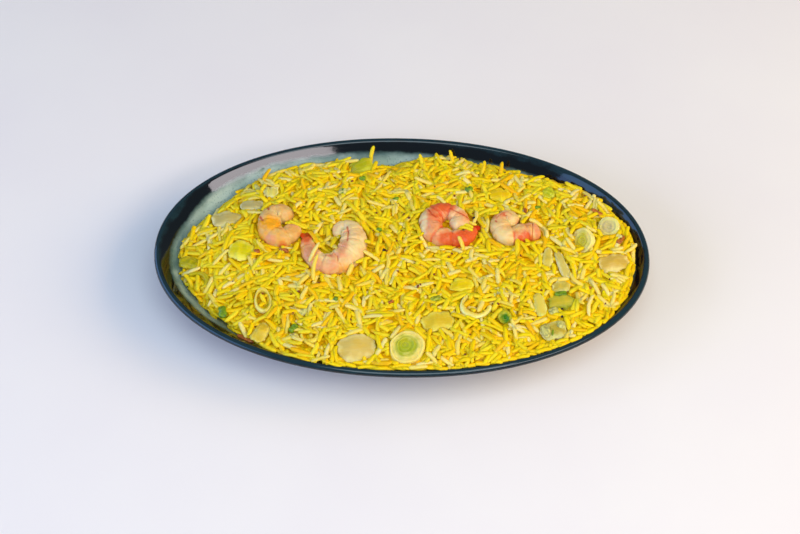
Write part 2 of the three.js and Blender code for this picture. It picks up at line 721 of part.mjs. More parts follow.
// The underside follows the dish's facets: the outline, rings down the wall, and the floor
function addUnderside(points, faces) {
  const rings = [points.slice(0, edgePoints).map((point, index) => index)];
  for (const share of [0.3, 0.62, 1]) {
    const ring = [];
    for (let i = 0; i < dishSides; i++) {
      const angle = (i / dishSides) * 2 * Math.PI;
      const inset = THREE.MathUtils.lerp(unevenEdge(angle), wellInset, share);
      ring.push(points.length);
      points.push(ovalPoint(inset, angle, wallHeight(inset) + seat));
    }
    rings.push(ring);
  }
  const [outline, high, middle, low] = rings;
  for (let i = 0; i < dishSides; i++) {
    const next = (i + 1) % dishSides;
    const halfway = outline[2 * i + 1];
    faces.push([outline[2 * i], high[i], halfway]);
    faces.push([halfway, high[i], high[next]], [halfway, high[next], outline[2 * next]]);
    for (const [upper, lower] of [[high, middle], [middle, low]]) {
      faces.push([upper[i], lower[i], lower[next]], [upper[i], lower[next], upper[next]]);
    }
    faces.push([low[i], points.length, low[next]]);
  }
  points.push(new THREE.Vector3(0, 0, floorHeight + seat));
}

function makeRice(cover) {
  const draw = seededDraws(11);
  const grains = layGrains(draw, cover);
  const points = [...edgeRing(edgePoints, 0), ...edgeRing(dishSides, 1.7)];
  const firstRidge = points.length;
  points.push(...ridgePoints(grains), ...dipPoints(grains, draw, cover));
  const faces = joinPoints(points);
  const ridges = grains.map((grain, index) => [firstRidge + 2 * index, firstRidge + 2 * index + 1]);
  keepRidges(points, faces, ridges);
  addUnderside(points, faces);
  return solidOf(faceted(points, faces));
}

function largestBody(solid) {
  return solid.decompose().sort((one, other) => other.volume() - one.volume())[0];
}

// Colours
const glaze = new THREE.MeshStandardMaterial({ color: 0x2f3f42, roughness: 0.25, metalness: 0 });
const rice = new THREE.MeshStandardMaterial({ color: 0xdcbb2c, roughness: 0.55, metalness: 0 });
const shrimpPink = new THREE.MeshStandardMaterial({ color: 0xe8a184, roughness: 0.4, metalness: 0 });
const onionPale = new THREE.MeshStandardMaterial({ color: 0xdfdb8e, roughness: 0.4, metalness: 0 });

function addMesh(group, name, geometry, material) {
  const mesh = new THREE.Mesh(geometry, material.clone());
  mesh.name = name;
  group.add(mesh);
}

const dish = new THREE.Group();
addMesh(dish, "bowl", makeDish(), glaze);

const cover = [];
const hollows = [];
for (const shrimp of shrimps) {
  addMesh(dish, `shrimp_${shrimp.name}`, geometryOf(makeShrimp(shrimp, 0)), shrimpPink);
  hollows.push(makeShrimp(shrimp, bed));
  cover.push(...coverOfShrimp(shrimp));
}
for (const onion of onions) {
  addMesh(dish, `onion_${onion.name}`, layOnion(onionForms[onion.form](onion, 0), onion), onionPale);
  hollows.push(solidOf(makeHollow(onion)));
  cover.push(...coverOfOnion(onion));
}
let heap = makeRice(cover);
for (const bit of bits) {
  heap = heap.add(solidOf(makeBit(bit)));
}
for (const hollow of hollows) {
  heap = heap.subtract(hollow);
}
addMesh(dish, "rice_heap", geometryOf(largestBody(heap)), rice);

export default dish;
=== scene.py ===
from functools import partial

import bpy
import numpy as np
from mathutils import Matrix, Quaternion, Vector


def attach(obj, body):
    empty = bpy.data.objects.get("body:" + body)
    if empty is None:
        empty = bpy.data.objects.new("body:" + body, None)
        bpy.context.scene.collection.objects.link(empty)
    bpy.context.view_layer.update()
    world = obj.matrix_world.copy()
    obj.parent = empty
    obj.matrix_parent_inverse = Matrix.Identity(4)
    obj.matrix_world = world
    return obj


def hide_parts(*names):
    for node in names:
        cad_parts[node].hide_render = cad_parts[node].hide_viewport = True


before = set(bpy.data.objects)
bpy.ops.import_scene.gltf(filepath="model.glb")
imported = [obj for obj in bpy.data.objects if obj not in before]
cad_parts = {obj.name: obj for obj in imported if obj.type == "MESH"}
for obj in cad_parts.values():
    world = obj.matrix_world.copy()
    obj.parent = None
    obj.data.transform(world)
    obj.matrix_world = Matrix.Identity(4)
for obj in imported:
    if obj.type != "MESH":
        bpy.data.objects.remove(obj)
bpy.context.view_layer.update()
mm = 0.001
print("frame loaded:", len(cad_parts), "solids")

# ---- the forms that the dish and the heap share with their solids

dish = {
    "halfLength": 140.0, "halfWidth": 86.0, "height": 36.0, "lipRadius": 2.1,
    "fullness": 2.06,  # power of the oval's curve: 2 is an ellipse
    "footInset": 42.0, "footWidth": 4.0, "footHollow": 1.8,
    "innerWall": [(3.585, 35.385), (15, 24), (31, 7), (44, 7)],  # Bezier points: inset, height
    "outerWall": [(40.4, 2.6), (28, 4), (10, 19), (0, 33.9)],
    "anglesRound": 192,
}
heap = {
    "crown": 38.4, "crust": 2.4, "shoulder": 46.0, "seat": 0.6,
    "edge": 8.7,  # mean inset of the heap's edge from the lip
    "edgeWaves": [(1, 3.2, 159), (2, 1.3, 6), (3, 1.3, -40)],  # waves round the oval, size, phase
}


def signedPower(value, power):
    return np.sign(value) * np.abs(value) ** power


def spun(x, y, angle):  # x and y turned about the middle
    c, s = np.cos(angle), np.sin(angle)
    return x * c - y * s, x * s + y * c


def roundAngles(count):
    return np.linspace(0, 2 * np.pi, count, endpoint=False)[None, :]


def ovalPoint(inset, angle):  # plan place at an inset from the lip and an angle round the oval
    power = 2 / dish["fullness"]
    x = (dish["halfLength"] - inset) * signedPower(np.cos(angle), power)
    y = (dish["halfWidth"] - inset) * signedPower(np.sin(angle), power)
    return x, y


def ovalPlace(x, y):  # inset and angle of a plan place, by halving the range of insets
    x, y = np.asarray(x, float), np.asarray(y, float)
    low, high = np.full(x.shape, -20.0), np.full(x.shape, dish["halfWidth"] - 1e-6)
    for _ in range(40):
        inset = (low + high) / 2
        across = signedPower(x / (dish["halfLength"] - inset), dish["fullness"] / 2)
        deep = signedPower(y / (dish["halfWidth"] - inset), dish["fullness"] / 2)
        outside = np.hypot(across, deep) > 1
        high = np.where(outside, inset, high)
        low = np.where(outside, low, inset)
    return low, np.arctan2(deep, across)


def roundOval(table, angle):  # value from a table of (degrees, value), between which it runs straight
    return np.interp(np.degrees((angle + np.pi) % (2 * np.pi) - np.pi), *zip(*table))


def bezier(corners, count):  # points along a cubic Bezier curve
    a, b, c, d = (np.array(corner, float) for corner in corners)
    t = np.linspace(0, 1, count)[:, None]
    return (1 - t) ** 3 * a + 3 * t * (1 - t) ** 2 * b + 3 * t**2 * (1 - t) * c + t**3 * d


innerWall = bezier(dish["innerWall"], 60)


def wallHeight(inset):
    return np.interp(inset, innerWall[:, 0], innerWall[:, 1])


def edgeInset(angle):  # the heap's edge, a sum of cosines: low at the -X end, at the lip along -Y
    waves = [size * np.cos(count * (angle - np.radians(phase))) for count, size, phase in heap["edgeWaves"]]
    return sum(waves, heap["edge"])


def heapHeight(x, y):  # a step at the edge, then a shoulder that rises as a quarter sine
    inset, angle = ovalPlace(x, y)
    edge = edgeInset(angle)
    base = wallHeight(edge) + heap["seat"]
    inward = np.maximum(inset - edge, 0)
    rise = np.sin(np.pi / 2 * np.minimum(inward / heap["shoulder"], 1))
    step = heap["crust"] * (1 - np.exp(-inward / 1.5))
    swell = 0.7 * np.sin(x / 17 + 1.3) * np.cos(y / 14 - 0.6) + 0.5 * np.sin((x + 2 * y) / 21 + 0.5)
    return base + step + (heap["crown"] - base - heap["crust"] + swell) * rise


def wobble(x, y, wave, seed, count=7):  # smooth unevenness of about -1..1: plane waves added up
    draw = np.random.default_rng(seed)
    turns = draw.uniform(0, 2 * np.pi, count)
    waves = wave * draw.uniform(0.7, 1.5, count)
    shifts = draw.uniform(0, 2 * np.pi, count)
    x, y = np.asarray(x, float)[..., None], np.asarray(y, float)[..., None]
    phase = (x * np.cos(turns) + y * np.sin(turns)) * 2 * np.pi / waves + shifts
    return np.sin(phase).sum(-1) / np.sqrt(count)


# ---- meshes and materials


def linear(hexColour):  # sRGB hex to linear RGBA
    parts = np.array([int(hexColour[i:i + 2], 16) for i in (1, 3, 5)]) / 255
    low, high = parts / 12.92, ((parts + 0.055) / 1.055) ** 2.4
    return (*np.where(parts <= 0.04045, low, high), 1.0)


def addNode(tree, kind, inputs={}, stops=(), out=None, **settings):
    # adds a shader node, whose inputs get numbers and colours or are linked to sockets, and gives
    # back its output called out, or else its first live one
    node = tree.nodes.new("ShaderNode" + kind)
    for name, value in settings.items():
        setattr(node, name, value)
    for name, value in inputs.items():
        if isinstance(value, bpy.types.NodeSocket):
            tree.links.new(value, node.inputs[name])
        else:
            node.inputs[name].default_value = value
    if stops:  # colour ramp: (place, hex colour)
        ramp = node.color_ramp.elements
        while len(ramp) < len(stops):
            ramp.new(0.5)
        for element, (place, colour) in zip(ramp, stops):
            element.position = place
            element.color = linear(colour)
    return node.outputs[out] if out else next((live for live in node.outputs if live.enabled), None)


def makeMaterial(name, finish, *settings):
    # a finish adds its nodes and gives back the inputs of the surface that they lead to
    material = bpy.data.materials.new(name)
    material.use_nodes = True
    material.node_tree.nodes.clear()
    add = partial(addNode, material.node_tree)
    inputs = finish(add, add("TexCoord", out="Object"), *settings)
    add("OutputMaterial", {"Surface": add("BsdfPrincipled", inputs)})
    return material


def soft(weight, radius, depth):  # how light spreads under the surface of moist food
    return {"Subsurface Weight": weight, "Subsurface Radius": radius, "Subsurface Scale": depth}


def addPiece(name, node, finish, parts):
    points, faceGroups, values = joinParts(parts)
    corners = np.concatenate([faces.ravel() for faces in faceGroups])
    sizes = np.concatenate([np.full(len(faces), faces.shape[1]) for faces in faceGroups])
    mesh = bpy.data.meshes.new(name)
    mesh.vertices.add(len(points))
    mesh.vertices.foreach_set("co", (np.asarray(points) * mm).ravel())
    mesh.loops.add(len(corners))
    mesh.loops.foreach_set("vertex_index", corners)
    mesh.polygons.add(len(sizes))
    mesh.polygons.foreach_set("loop_start", np.concatenate([[0], np.cumsum(sizes)[:-1]]))
    mesh.update(calc_edges=True)
    mesh.polygons.foreach_set("use_smooth", np.ones(len(sizes), bool))
    for label, numbers in values.items():
        mesh.attributes.new(label, "FLOAT", "POINT").data.foreach_set("value", numbers)
    mesh.materials.append(makeMaterial(*finish))
    piece = bpy.data.objects.new(name, mesh)
    bpy.context.scene.collection.objects.link(piece)
    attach(piece, "root")
    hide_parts(node)


def tubeFaces(rows, sides):  # quads round a closed tube of rings, and triangles to its two poles
    row, side = np.meshgrid(np.arange(rows - 1), np.arange(sides), indexing="ij")
    near = row * sides + side
    after = row * sides + (side + 1) % sides
    quads = np.stack([near, near + sides, after + sides, after], -1).reshape(-1, 4)
    side = np.arange(sides)
    after = (side + 1) % sides
    last = (rows - 1) * sides
    start = np.stack([np.full(sides, rows * sides), side, after], -1)
    end = np.stack([np.full(sides, rows * sides + 1), last + after, last + side], -1)
    return quads, np.concatenate([start, end])


def tube(x, y, z, tips=None):  # a grid of rings by sides, closed by a pole in the middle of each end
    rings = np.stack(np.broadcast_arrays(x, y, z), -1)
    ends = tips or (rings[0].mean(0), rings[-1].mean(0))
    return np.concatenate([rings.reshape(-1, 3), np.array(ends)]), tubeFaces(*rings.shape[:2])


def withPoles(values, poles=(0, 0)):
    return np.concatenate([values.ravel(), poles])


def outwards(points, faceGroups):  # turns all faces round if they enclose a negative volume
    total = 0.0
    for faces in faceGroups:
        a, b, c = points[faces[:, 0]], points[faces[:, 1]], points[faces[:, 2]]
        total += np.einsum("ij,ij->", a, np.cross(b, c))
        if faces.shape[1] == 4:
            total += np.einsum("ij,ij->", a, np.cross(c, points[faces[:, 3]]))
    return [faces[:, ::-1] for faces in faceGroups] if total < 0 else list(faceGroups)


def joinParts(parts):  # several (points, faceGroups, values) as one mesh
    points, groups, values, first = [], {}, {}, 0
    for part, faceGroups, numbers in parts:
        for faces in outwards(part, faceGroups):
            groups.setdefault(faces.shape[1], []).append(faces + first)
        for label, value in numbers.items():
            values.setdefault(label, []).append(np.broadcast_to(value, len(part)))
        points.append(part)
        first += len(part)
    joined = {label: np.concatenate(value) for label, value in values.items()}
    return np.concatenate(points), [np.concatenate(faces) for faces in groups.values()], joined


# ---- camera, floor and light

camera = {"target": (-0.584, -8.333, 30.0), "distance": 878.6, "azimuth": 1.615, "elevation": 52.0,
          "lens": 70.0}
lights = {  # azimuth and elevation, distance m, size m, power W, colour
    "key": ((78, 36), 1.9, (1.1, 1.1), 18.6, "#ffd25f"),
    "side": ((95, 38), 1.9, (1.1, 1.1), 8.0, "#f2e4ff"),
    "top": ((10, 65), 1.4, (0.8, 0.8), 7.3, "#dff4ff"),
    "fill": ((-62, 28), 1.9, (1.6, 1.2), 25.2, "#c9d2ff"),
    "softbox": ((41.2, 43.3), 1.3, (0.97, 0.2), 4.0, "#fbf2f6"),
    "sky": ((-85, 28), 1.6, (2.6, 1.1), 26.0, "#8db7ff"),
}
softboxRoll = -10.2
mirrored = ("softbox", "sky", "top")  # the lamps that gloss mirrors; the sky lamp does nothing else
air = {"colour": "#d6eeff", "strength": 0.22}
floorReach = 4000.0


def lookFrom(azimuth, elevation):  # unit vector from the dish to a place round it
    a, e = np.radians(azimuth), np.radians(elevation)
    return Vector((np.sin(a) * np.cos(e), -np.cos(a) * np.cos(e), np.sin(e)))


def addCamera():
    data = bpy.data.cameras.new("camera")
    data.lens, data.sensor_width = camera["lens"], 36.0
    data.clip_start, data.clip_end = 0.05, 20.0
    eye = bpy.data.objects.new("camera", data)
    back = lookFrom(camera["azimuth"], camera["elevation"])
    eye.location = (Vector(camera["target"]) + back * camera["distance"]) * mm
    eye.rotation_euler = (-back).to_track_quat("-Z", "Y").to_euler()
    bpy.context.scene.collection.objects.link(eye)
    bpy.context.scene.camera = eye


def addLights():
    for name, (place, away, size, power, colour) in lights.items():
        data = bpy.data.lights.new(name, "AREA")
        data.shape = "ELLIPSE" if name == "softbox" else "RECTANGLE"
        data.size, data.size_y = size
        data.energy = power
        data.color = linear(colour)[:3]
        lamp = bpy.data.objects.new(name, data)
        lamp.visible_glossy = name in mirrored
        lamp.visible_diffuse = name != "sky"
        towards = lookFrom(*place)
        lamp.location = towards * away
        roll = Quaternion((0, 0, 1), np.radians(softboxRoll if name == "softbox" else 0))
        lamp.rotation_euler = (towards.to_track_quat("Z", "Y") @ roll).to_euler()
        bpy.context.scene.collection.objects.link(lamp)
    world = bpy.data.worlds.new("studio")
    world.use_nodes = True
    background = world.node_tree.nodes["Background"]
    background.inputs["Color"].default_value = linear(air["colour"])
    background.inputs["Strength"].default_value = air["strength"]
    bpy.context.scene.world = world
    bpy.context.scene.view_settings.view_transform = "Standard"


def paintedBoard(add, place):  # matt white painted board: even, with the faintest mottling
    mottle = add("TexNoise", {"Scale": 9.0, "Detail": 3.0, "Vector": place})
    tone = add("ValToRGB", {"Fac": mottle}, [(0.3, "#e6e4e4"), (0.7, "#e9e8e6")])
    return {"Base Color": tone, "Roughness": 0.7, "Specular IOR Level": 0.2}


def addFloor():
    corners = np.array([(-1, -1, 0), (1, -1, 0), (1, 1, 0), (-1, 1, 0)]) * floorReach * mm
    mesh = bpy.data.meshes.new("floor")
    mesh.from_pydata(corners.tolist(), [], [(0, 1, 2, 3)])
    mesh.materials.append(makeMaterial("paintedBoard", paintedBoard))
    board = bpy.data.objects.new("floor", mesh)
    bpy.context.scene.collection.objects.link(board)


addCamera()
addLights()
addFloor()
print("camera, lights and floor")

# ---- dish: one turned profile carried round the oval

glaze = {
    "zones": [  # share of the way from the outside over the lip to the inside, colour
        (0.0, "#12181b"), (0.27, "#12181b"), (0.31, "#152d35"), (0.37, "#152d35"), (0.41, "#070c12"),
        (0.56, "#070c12"), (0.64, "#4a6865"), (0.78, "#86a59b")],
    "pale": "#a9c0b8", "speck": "#3d5654", "clay": "#8b7f73",
    "runsFrom": 1.5, "runsOver": 3,  # where down the wall the runs begin, and grow full, mm
    # how far the dark glaze has run down the wall, mm, at angles round the oval
    "runs": [(-180, 1.5), (-90, 1), (-20, -1), (0, 0.5), (14, 3), (30, 5), (42, 4), (52, 2.6), (70, 2.4),
             (90, 1.2), (125, -1.4), (150, 0.4), (163, 3.2), (180, 1.8)],
}


def dishProfile():  # (inset, height) from the middle of the underside round to the middle inside
    hollow, outer = dish["footHollow"], dish["footInset"]
    inner = outer + dish["footWidth"]
    foot = [(dish["halfLength"], hollow), (100, hollow), (60, hollow), (inner + 1.4, hollow),
            (inner + 0.5, 0.6), (inner, 0), (inner - 2, 0), (outer, 0), (outer - 0.8, 0.7)]
    turn = np.radians(np.linspace(6, 132, 15))
    radius = dish["lipRadius"]
    lip = np.stack([radius * (1 - np.cos(turn)), dish["height"] - radius * (1 - np.sin(turn))], -1)
    floor = [(inset, dish["innerWall"][-1][1]) for inset in (50, 60, 75, 100, dish["halfLength"])]
    outerWall = bezier(dish["outerWall"], 44)
    profile = np.concatenate([foot, outerWall, lip, innerWall, floor])
    length = np.concatenate([[0], np.cumsum(np.hypot(*np.diff(profile, axis=0).T))])
    crest = length[len(foot) + len(outerWall) + len(lip) // 2]
    return profile, length - crest


def stonewareGlaze(add, place):
    # reduction-fired glaze on stoneware: glassy, dark where it breaks over the lip, and a
    # speckled celadon where it pools inside
    along = add("Attribute", out="Fac", attribute_name="profile")
    ragged = add("TexNoise", {"Scale": 160.0, "Detail": 4.0, "Roughness": 0.6,
                              "Vector": place})  # 6 mm runs of glaze
    shifted = add("Math", {0: ragged, 1: 2.6, 2: along}, operation="MULTIPLY_ADD")
    share = add("MapRange", {"Value": shifted, "From Min": -8.7, "From Max": 21.3})
    zones = add("ValToRGB", {"Fac": share}, glaze["zones"])
    inside = add("MapRange", {"Value": share, "From Min": 0.58, "From Max": 0.70})
    clouds = add("TexNoise", {"Scale": 60.0, "Detail": 5.0, "Vector": place})
    cloudy = add("MapRange", {"Value": clouds, "From Min": 0.42, "From Max": 0.72})
    pale = add("Math", {0: inside, 1: cloudy}, operation="MULTIPLY")
    washed = add("Mix", {"Factor": pale, "A": zones, "B": linear(glaze["pale"])}, data_type="RGBA")
    specks = add("TexNoise", {"Scale": 900.0, "Detail": 2.0, "Vector": place})
    iron = add("MapRange", {"Value": specks, "From Min": 0.60, "From Max": 0.68,
                            "To Max": 0.55})  # specks of about 1 mm
    within = add("Math", {0: iron, 1: inside}, operation="MULTIPLY")
    speckled = add("Mix", {"Factor": within, "A": washed, "B": linear(glaze["speck"])}, data_type="RGBA")
    glazed = add("MapRange", {"Value": along, "From Min": -54.0, "From Max": -52.5})
    colour = add("Mix", {"Factor": glazed, "A": linear(glaze["clay"]), "B": speckled},
                 data_type="RGBA")  # the foot is wiped bare of glaze
    rough = add("MapRange", {"Value": inside, "To Min": 0.05, "To Max": 0.4})  # satin inside
    relief = add("Bump", {"Height": ragged, "Strength": 0.03, "Distance": 0.0006})
    return {"Base Color": colour, "Roughness": rough, "IOR": 1.52, "Normal": relief}


def makeDish():
    # each profile point is carried round the oval at its own inset; beyond turnIn the rings
    # shrink in proportion to the middle
    profile, along = dishProfile()
    turnIn = 60.0
    angle = roundAngles(dish["anglesRound"])
    inset, height = profile[1:-1, 0][:, None], profile[1:-1, 1][:, None]
    inner = np.minimum(inset, turnIn)
    shrink = (dish["halfLength"] - inset) / (dish["halfLength"] - inner)
    x, y = ovalPoint(inner, angle)
    points, faces = tube(x * shrink, y * shrink, height, ((0, 0, profile[0, 1]), (0, 0, profile[-1, 1])))
    within = along[1:-1, None]
    grown = np.clip((within - glaze["runsFrom"]) / glaze["runsOver"], 0, 1)
    inward = within - roundOval(glaze["runs"], angle) * grown
    values = {"profile": withPoles(inward, along[[0, -1]])}
    addPiece("stonewareDish", "bowl", ("stonewareGlaze", stonewareGlaze),
             [(points, faces, values)])


makeDish()
print("dish")

# ---- a raster of the highest surface so far, over which toppings and grains are laid

cell = 0.5  # mm
gridX = np.arange(-dish["halfLength"], dish["halfLength"] + 0.01, cell)
gridY = np.arange(-dish["halfWidth"], dish["halfWidth"] + 0.01, cell)
planX, planY = np.meshgrid(gridX, gridY, indexing="ij")
planInset, planAngle = ovalPlace(planX, planY)
planHeap = heapHeight(planX, planY)
toppingTop = np.full(planX.shape, -1.0)


def cellOf(x, y):
    i = np.clip(np.rint((x - gridX[0]) / cell).astype(int), 0, len(gridX) - 1)
    j = np.clip(np.rint((y - gridY[0]) / cell).astype(int), 0, len(gridY) - 1)
    return i, j


def layOnField(points):  # the raster keeps the highest point of each cell, and fills small gaps
    spot = np.full(planX.shape, -1.0)
    np.maximum.at(spot, cellOf(points[:, 0], points[:, 1]), points[:, 2])
    for di in (-1, 0, 1):
        for dj in (-1, 0, 1):
            np.maximum(toppingTop, np.roll(spot, (di, dj), (0, 1)), out=toppingTop)


# ---- shrimps: a ringed body along a curled line, lying on its side, with the back outwards

shrimps = {
    # line: x, y and half depth from the neck to the tail; patches of colour: x, y, reach along x
    # and along y, strength; creases: points, half width
    "left": {
        "line": [(-65, 16, 5), (-68, 19.5, 6.2), (-73.2, 19, 6.8), (-75.5, 12.5, 7), (-73, 5.5, 6.8),
                 (-67.5, 3.8, 6.4), (-63.2, 6.5, 5.6), (-61.8, 12, 5)],
        "flesh": "#e0be78", "deep": "#dca858", "red": 0.2, "tail": None,
        "coral": [(-66.5, -4.0, 4, 2.5, 0.8)],
        "saffron": [(-75, 9.5, 8, 5.5, 1.0), (-79.5, 2, 5, 6, 0.75), (-68, 4, 6, 3.5, 0.6),
                    (-70, -1, 7, 2.5, 0.6)],
        "blush": [(-60.8, 13, 5, 5, 0.9), (-74.5, -1, 4.5, 3.5, 0.8), (-65, 6, 5, 4, 0.5)],
        "milk": [(-71, 18.5, 5.5, 5.5, 0.5)],
        "creases": [([(-76.7, 26.4), (-77, 23), (-76.1, 19.4)], 0.9), ([(-80.9, 15.4), (-78.8, 11.6)], 0.8),
                    ([(-71.1, 6.9), (-67.1, 5.7)], 0.45),
                    ([(-65.4, 13.2), (-62.7, 15.5), (-59.9, 17)], 0.5)],
    },
    "middle": {
        "line": [(-35, 5, 3.6), (-35, 10.5, 4.4), (-30, 10.5, 6), (-27, 3, 7.6), (-29, -7.5, 8),
                 (-36, -14.2, 7.4), (-43, -15, 6.6), (-49.5, -9.5, 5.6), (-52.5, -1.5, 4.4),
                 (-53.5, 4.5, 3)],
        "flesh": "#ead294", "deep": "#e4b87c", "red": 0.4, "tail": "#d2480a",
        "coral": [(-54.2, 2.8, 4.5, 5.5, 1.0), (-31.5, 3.5, 2.2, 5, 0.5)],
        "saffron": [(-55.5, -9, 2.5, 8, 0.8), (-27, -20, 12, 3.5, 0.65), (-24, -9, 5, 8, 0.35),
                    (-22, 2, 3, 8, 0.4)],
        "blush": [(-50.5, -9, 5, 8, 0.95), (-47, -19, 5, 5, 0.8), (-40, -19, 7, 4, 0.8),
                  (-32.5, -7, 3.4, 6, 0.9), (-36, -13, 8, 2.2, 0.9)],
        "milk": [(-34, 6, 3.4, 6, 0.8), (-27, -13, 6, 8, 0.5), (-26, 4, 4, 6, 0.4)],
        "creases": [([(-31, 8.7), (-29.8, 3.7), (-30.2, -2.7)], 0.75), ([(-35, -13.1), (-34.8, -16.9)], 0.4),
                    ([(-42.2, -12.7), (-38.5, -13.3)], 0.4)],
    },
    "centre": {
        "line": [(27.5, 13.5, 4.6), (33, 16.5, 5.4), (30.5, 22, 5.4), (23, 24, 5.8), (17.2, 19, 6.6),
                 (16.8, 11, 6.8), (22, 5.8, 6.2), (29.5, 5, 5.4), (36.5, 6.5, 4.8), (40.5, 13.5, 3.2)],
        "flesh": "#e4bc84", "deep": "#e69a60", "red": 0.8, "tail": "#d03008",
        "coral": [(24, 25.5, 7, 5.5, 1.0), (18.5, 19.5, 5, 5, 0.85), (23, 13.5, 3.2, 6, 0.7),
                  (37, 1.8, 8, 7, 1.25), (27, 1.5, 7, 5, 0.9), (41.5, 10, 3.5, 6, 1.3),
                  (21.5, 5, 4, 4, 0.35)],
        "saffron": [(21.5, -0.5, 5, 3, 0.5), (33, 10, 4, 3, 0.4)],
        "blush": [(16.5, 12.5, 5, 6, 1.0), (21, 28.5, 4, 3, 0.6), (24, 18, 3, 3, 0.6)],
        "milk": [(11.5, 13, 3.2, 9, 0.9), (28.5, 12.5, 3.6, 7, 0.8), (32, 24.5, 6, 3.2, 0.8),
                 (19, 28.4, 3, 2.2, 0.7)],
        "creases": [([(14.5, 22.7), (16.9, 17.3), (19, 16)], 0.8),
                    ([(21.3, 30), (25, 28), (28.2, 26.6)], 0.8),
                    ([(27.1, 23.5), (31, 21.2), (34.5, 19.4), (38.5, 17.4)], 0.7),
                    ([(24.5, 18), (22.8, 14), (23.5, 11)], 0.6)],
    },
    "right": {
        "line": [(64.5, 16, 5.4), (60.5, 20, 5.8), (57, 18.2, 6.2), (56.3, 13, 6.4), (59, 8.8, 6.2),
                 (63.5, 8.8, 5.8), (68.5, 10.5, 5.8), (73.5, 12, 5.8), (78, 14, 4.2)],
        "flesh": "#e8cc86", "deep": "#e0b06c", "red": 0.35, "tail": None,
        "coral": [(69.5, 4.5, 5.5, 3.6, 0.95), (69.5, 12, 5, 2.0, 0.6), (65, 6, 3, 3, 0.7),
                  (56.5, 20.5, 5.5, 2.2, 0.55), (52.5, 18, 2.5, 3, 0.5)],
        "saffron": [(69.5, 9, 6, 8, 0.55), (60, 1.5, 5, 3, 0.55)],
        "blush": [(69.5, 16, 5, 3.4, 0.9), (57, 20, 7, 4.5, 0.75), (69.5, 8.3, 4.5, 2.2, 0.8),
                  (77, 13, 3, 9, 1.0), (62, 4, 4, 3, 0.5)],
        "milk": [(57.5, 9.5, 6, 6, 0.5), (56, 2.5, 5, 4, 0.6)],
        "creases": [([(52, 20.5), (55, 23), (59, 23.4), (62.5, 21)], 0.35),
                    ([(53.6, 18.4), (56.5, 20.6), (60, 19.6)], 0.35), ([(52.9, 15.8), (53.5, 14.6)], 0.7),
                    ([(73.6, 17.5), (73.9, 11), (73.5, 4)], 0.35)],
    },
}
shrimpForm = {"rows": 240, "sides": 64, "lift": 0.2, "flatness": 0.82, "raise": 0.3, "segment": 8.0,
              "creaseDepth": 0.45, "lobes": [(-34, 6.6, 1.9), (0, 5.6, 1.6), (34, 6.6, 1.9)]}
pigments = {"saffron": "#eea600", "blush": "#e29868", "milk": "#e6d4a0", "coral": "#dc561c",
            "crease": "#c4481a"}


def splineThrough(stops, count):
    # Catmull-Rom curve: between two stops it is the cubic whose slope at each stop is half the
    # step between that stop's neighbours
    stops = np.array(stops, float)
    ends = np.concatenate([[2 * stops[0] - stops[1]], stops, [2 * stops[-1] - stops[-2]]])
    t = np.linspace(0, len(stops) - 1, count)
    part = np.minimum(t.astype(int), len(stops) - 2)
    f = (t - part)[:, None]
    a, b, c, d = (ends[part + k] for k in range(4))
    return 0.5 * (2 * b + (c - a) * f + (2 * a - 5 * b + 4 * c - d) * f**2 + (3 * (b - c) + d - a) * f**3)


def patchShare(points, patches):  # strength inside each ellipse, fading out beyond its rim
    share = np.zeros(len(points))
    for x, y, reachX, reachY, strength in patches:
        away = np.hypot((points[:, 0] - x) / reachX, (points[:, 1] - y) / reachY)
        share = np.maximum(share, strength * np.clip(1.7 - 1.1 * away, 0, 1))
    return share


def creaseShare(points, creases):  # 1 on a crease's line, falling as exp(-(away / half)^2)
    share = np.zeros(len(points))
    for stops, half in creases:
        for start, end in zip(np.array(stops[:-1], float), np.array(stops[1:], float)):
            along = end - start
            place = np.clip((points[:, :2] - start) @ along / (along @ along), 0, 1)
            away = np.hypot(*(points[:, :2] - start - place[:, None] * along).T)
            share = np.maximum(share, np.exp(-((away / half) ** 2)))
    return share


def shrimpLevel(shrimp):  # height of the bed under the middle of the shrimp's line
    line = np.array(shrimp["line"])[:, :2]
    middle = (line.max(0) + line.min(0)) / 2
    return float(heapHeight(*middle)) + shrimpForm["lift"]


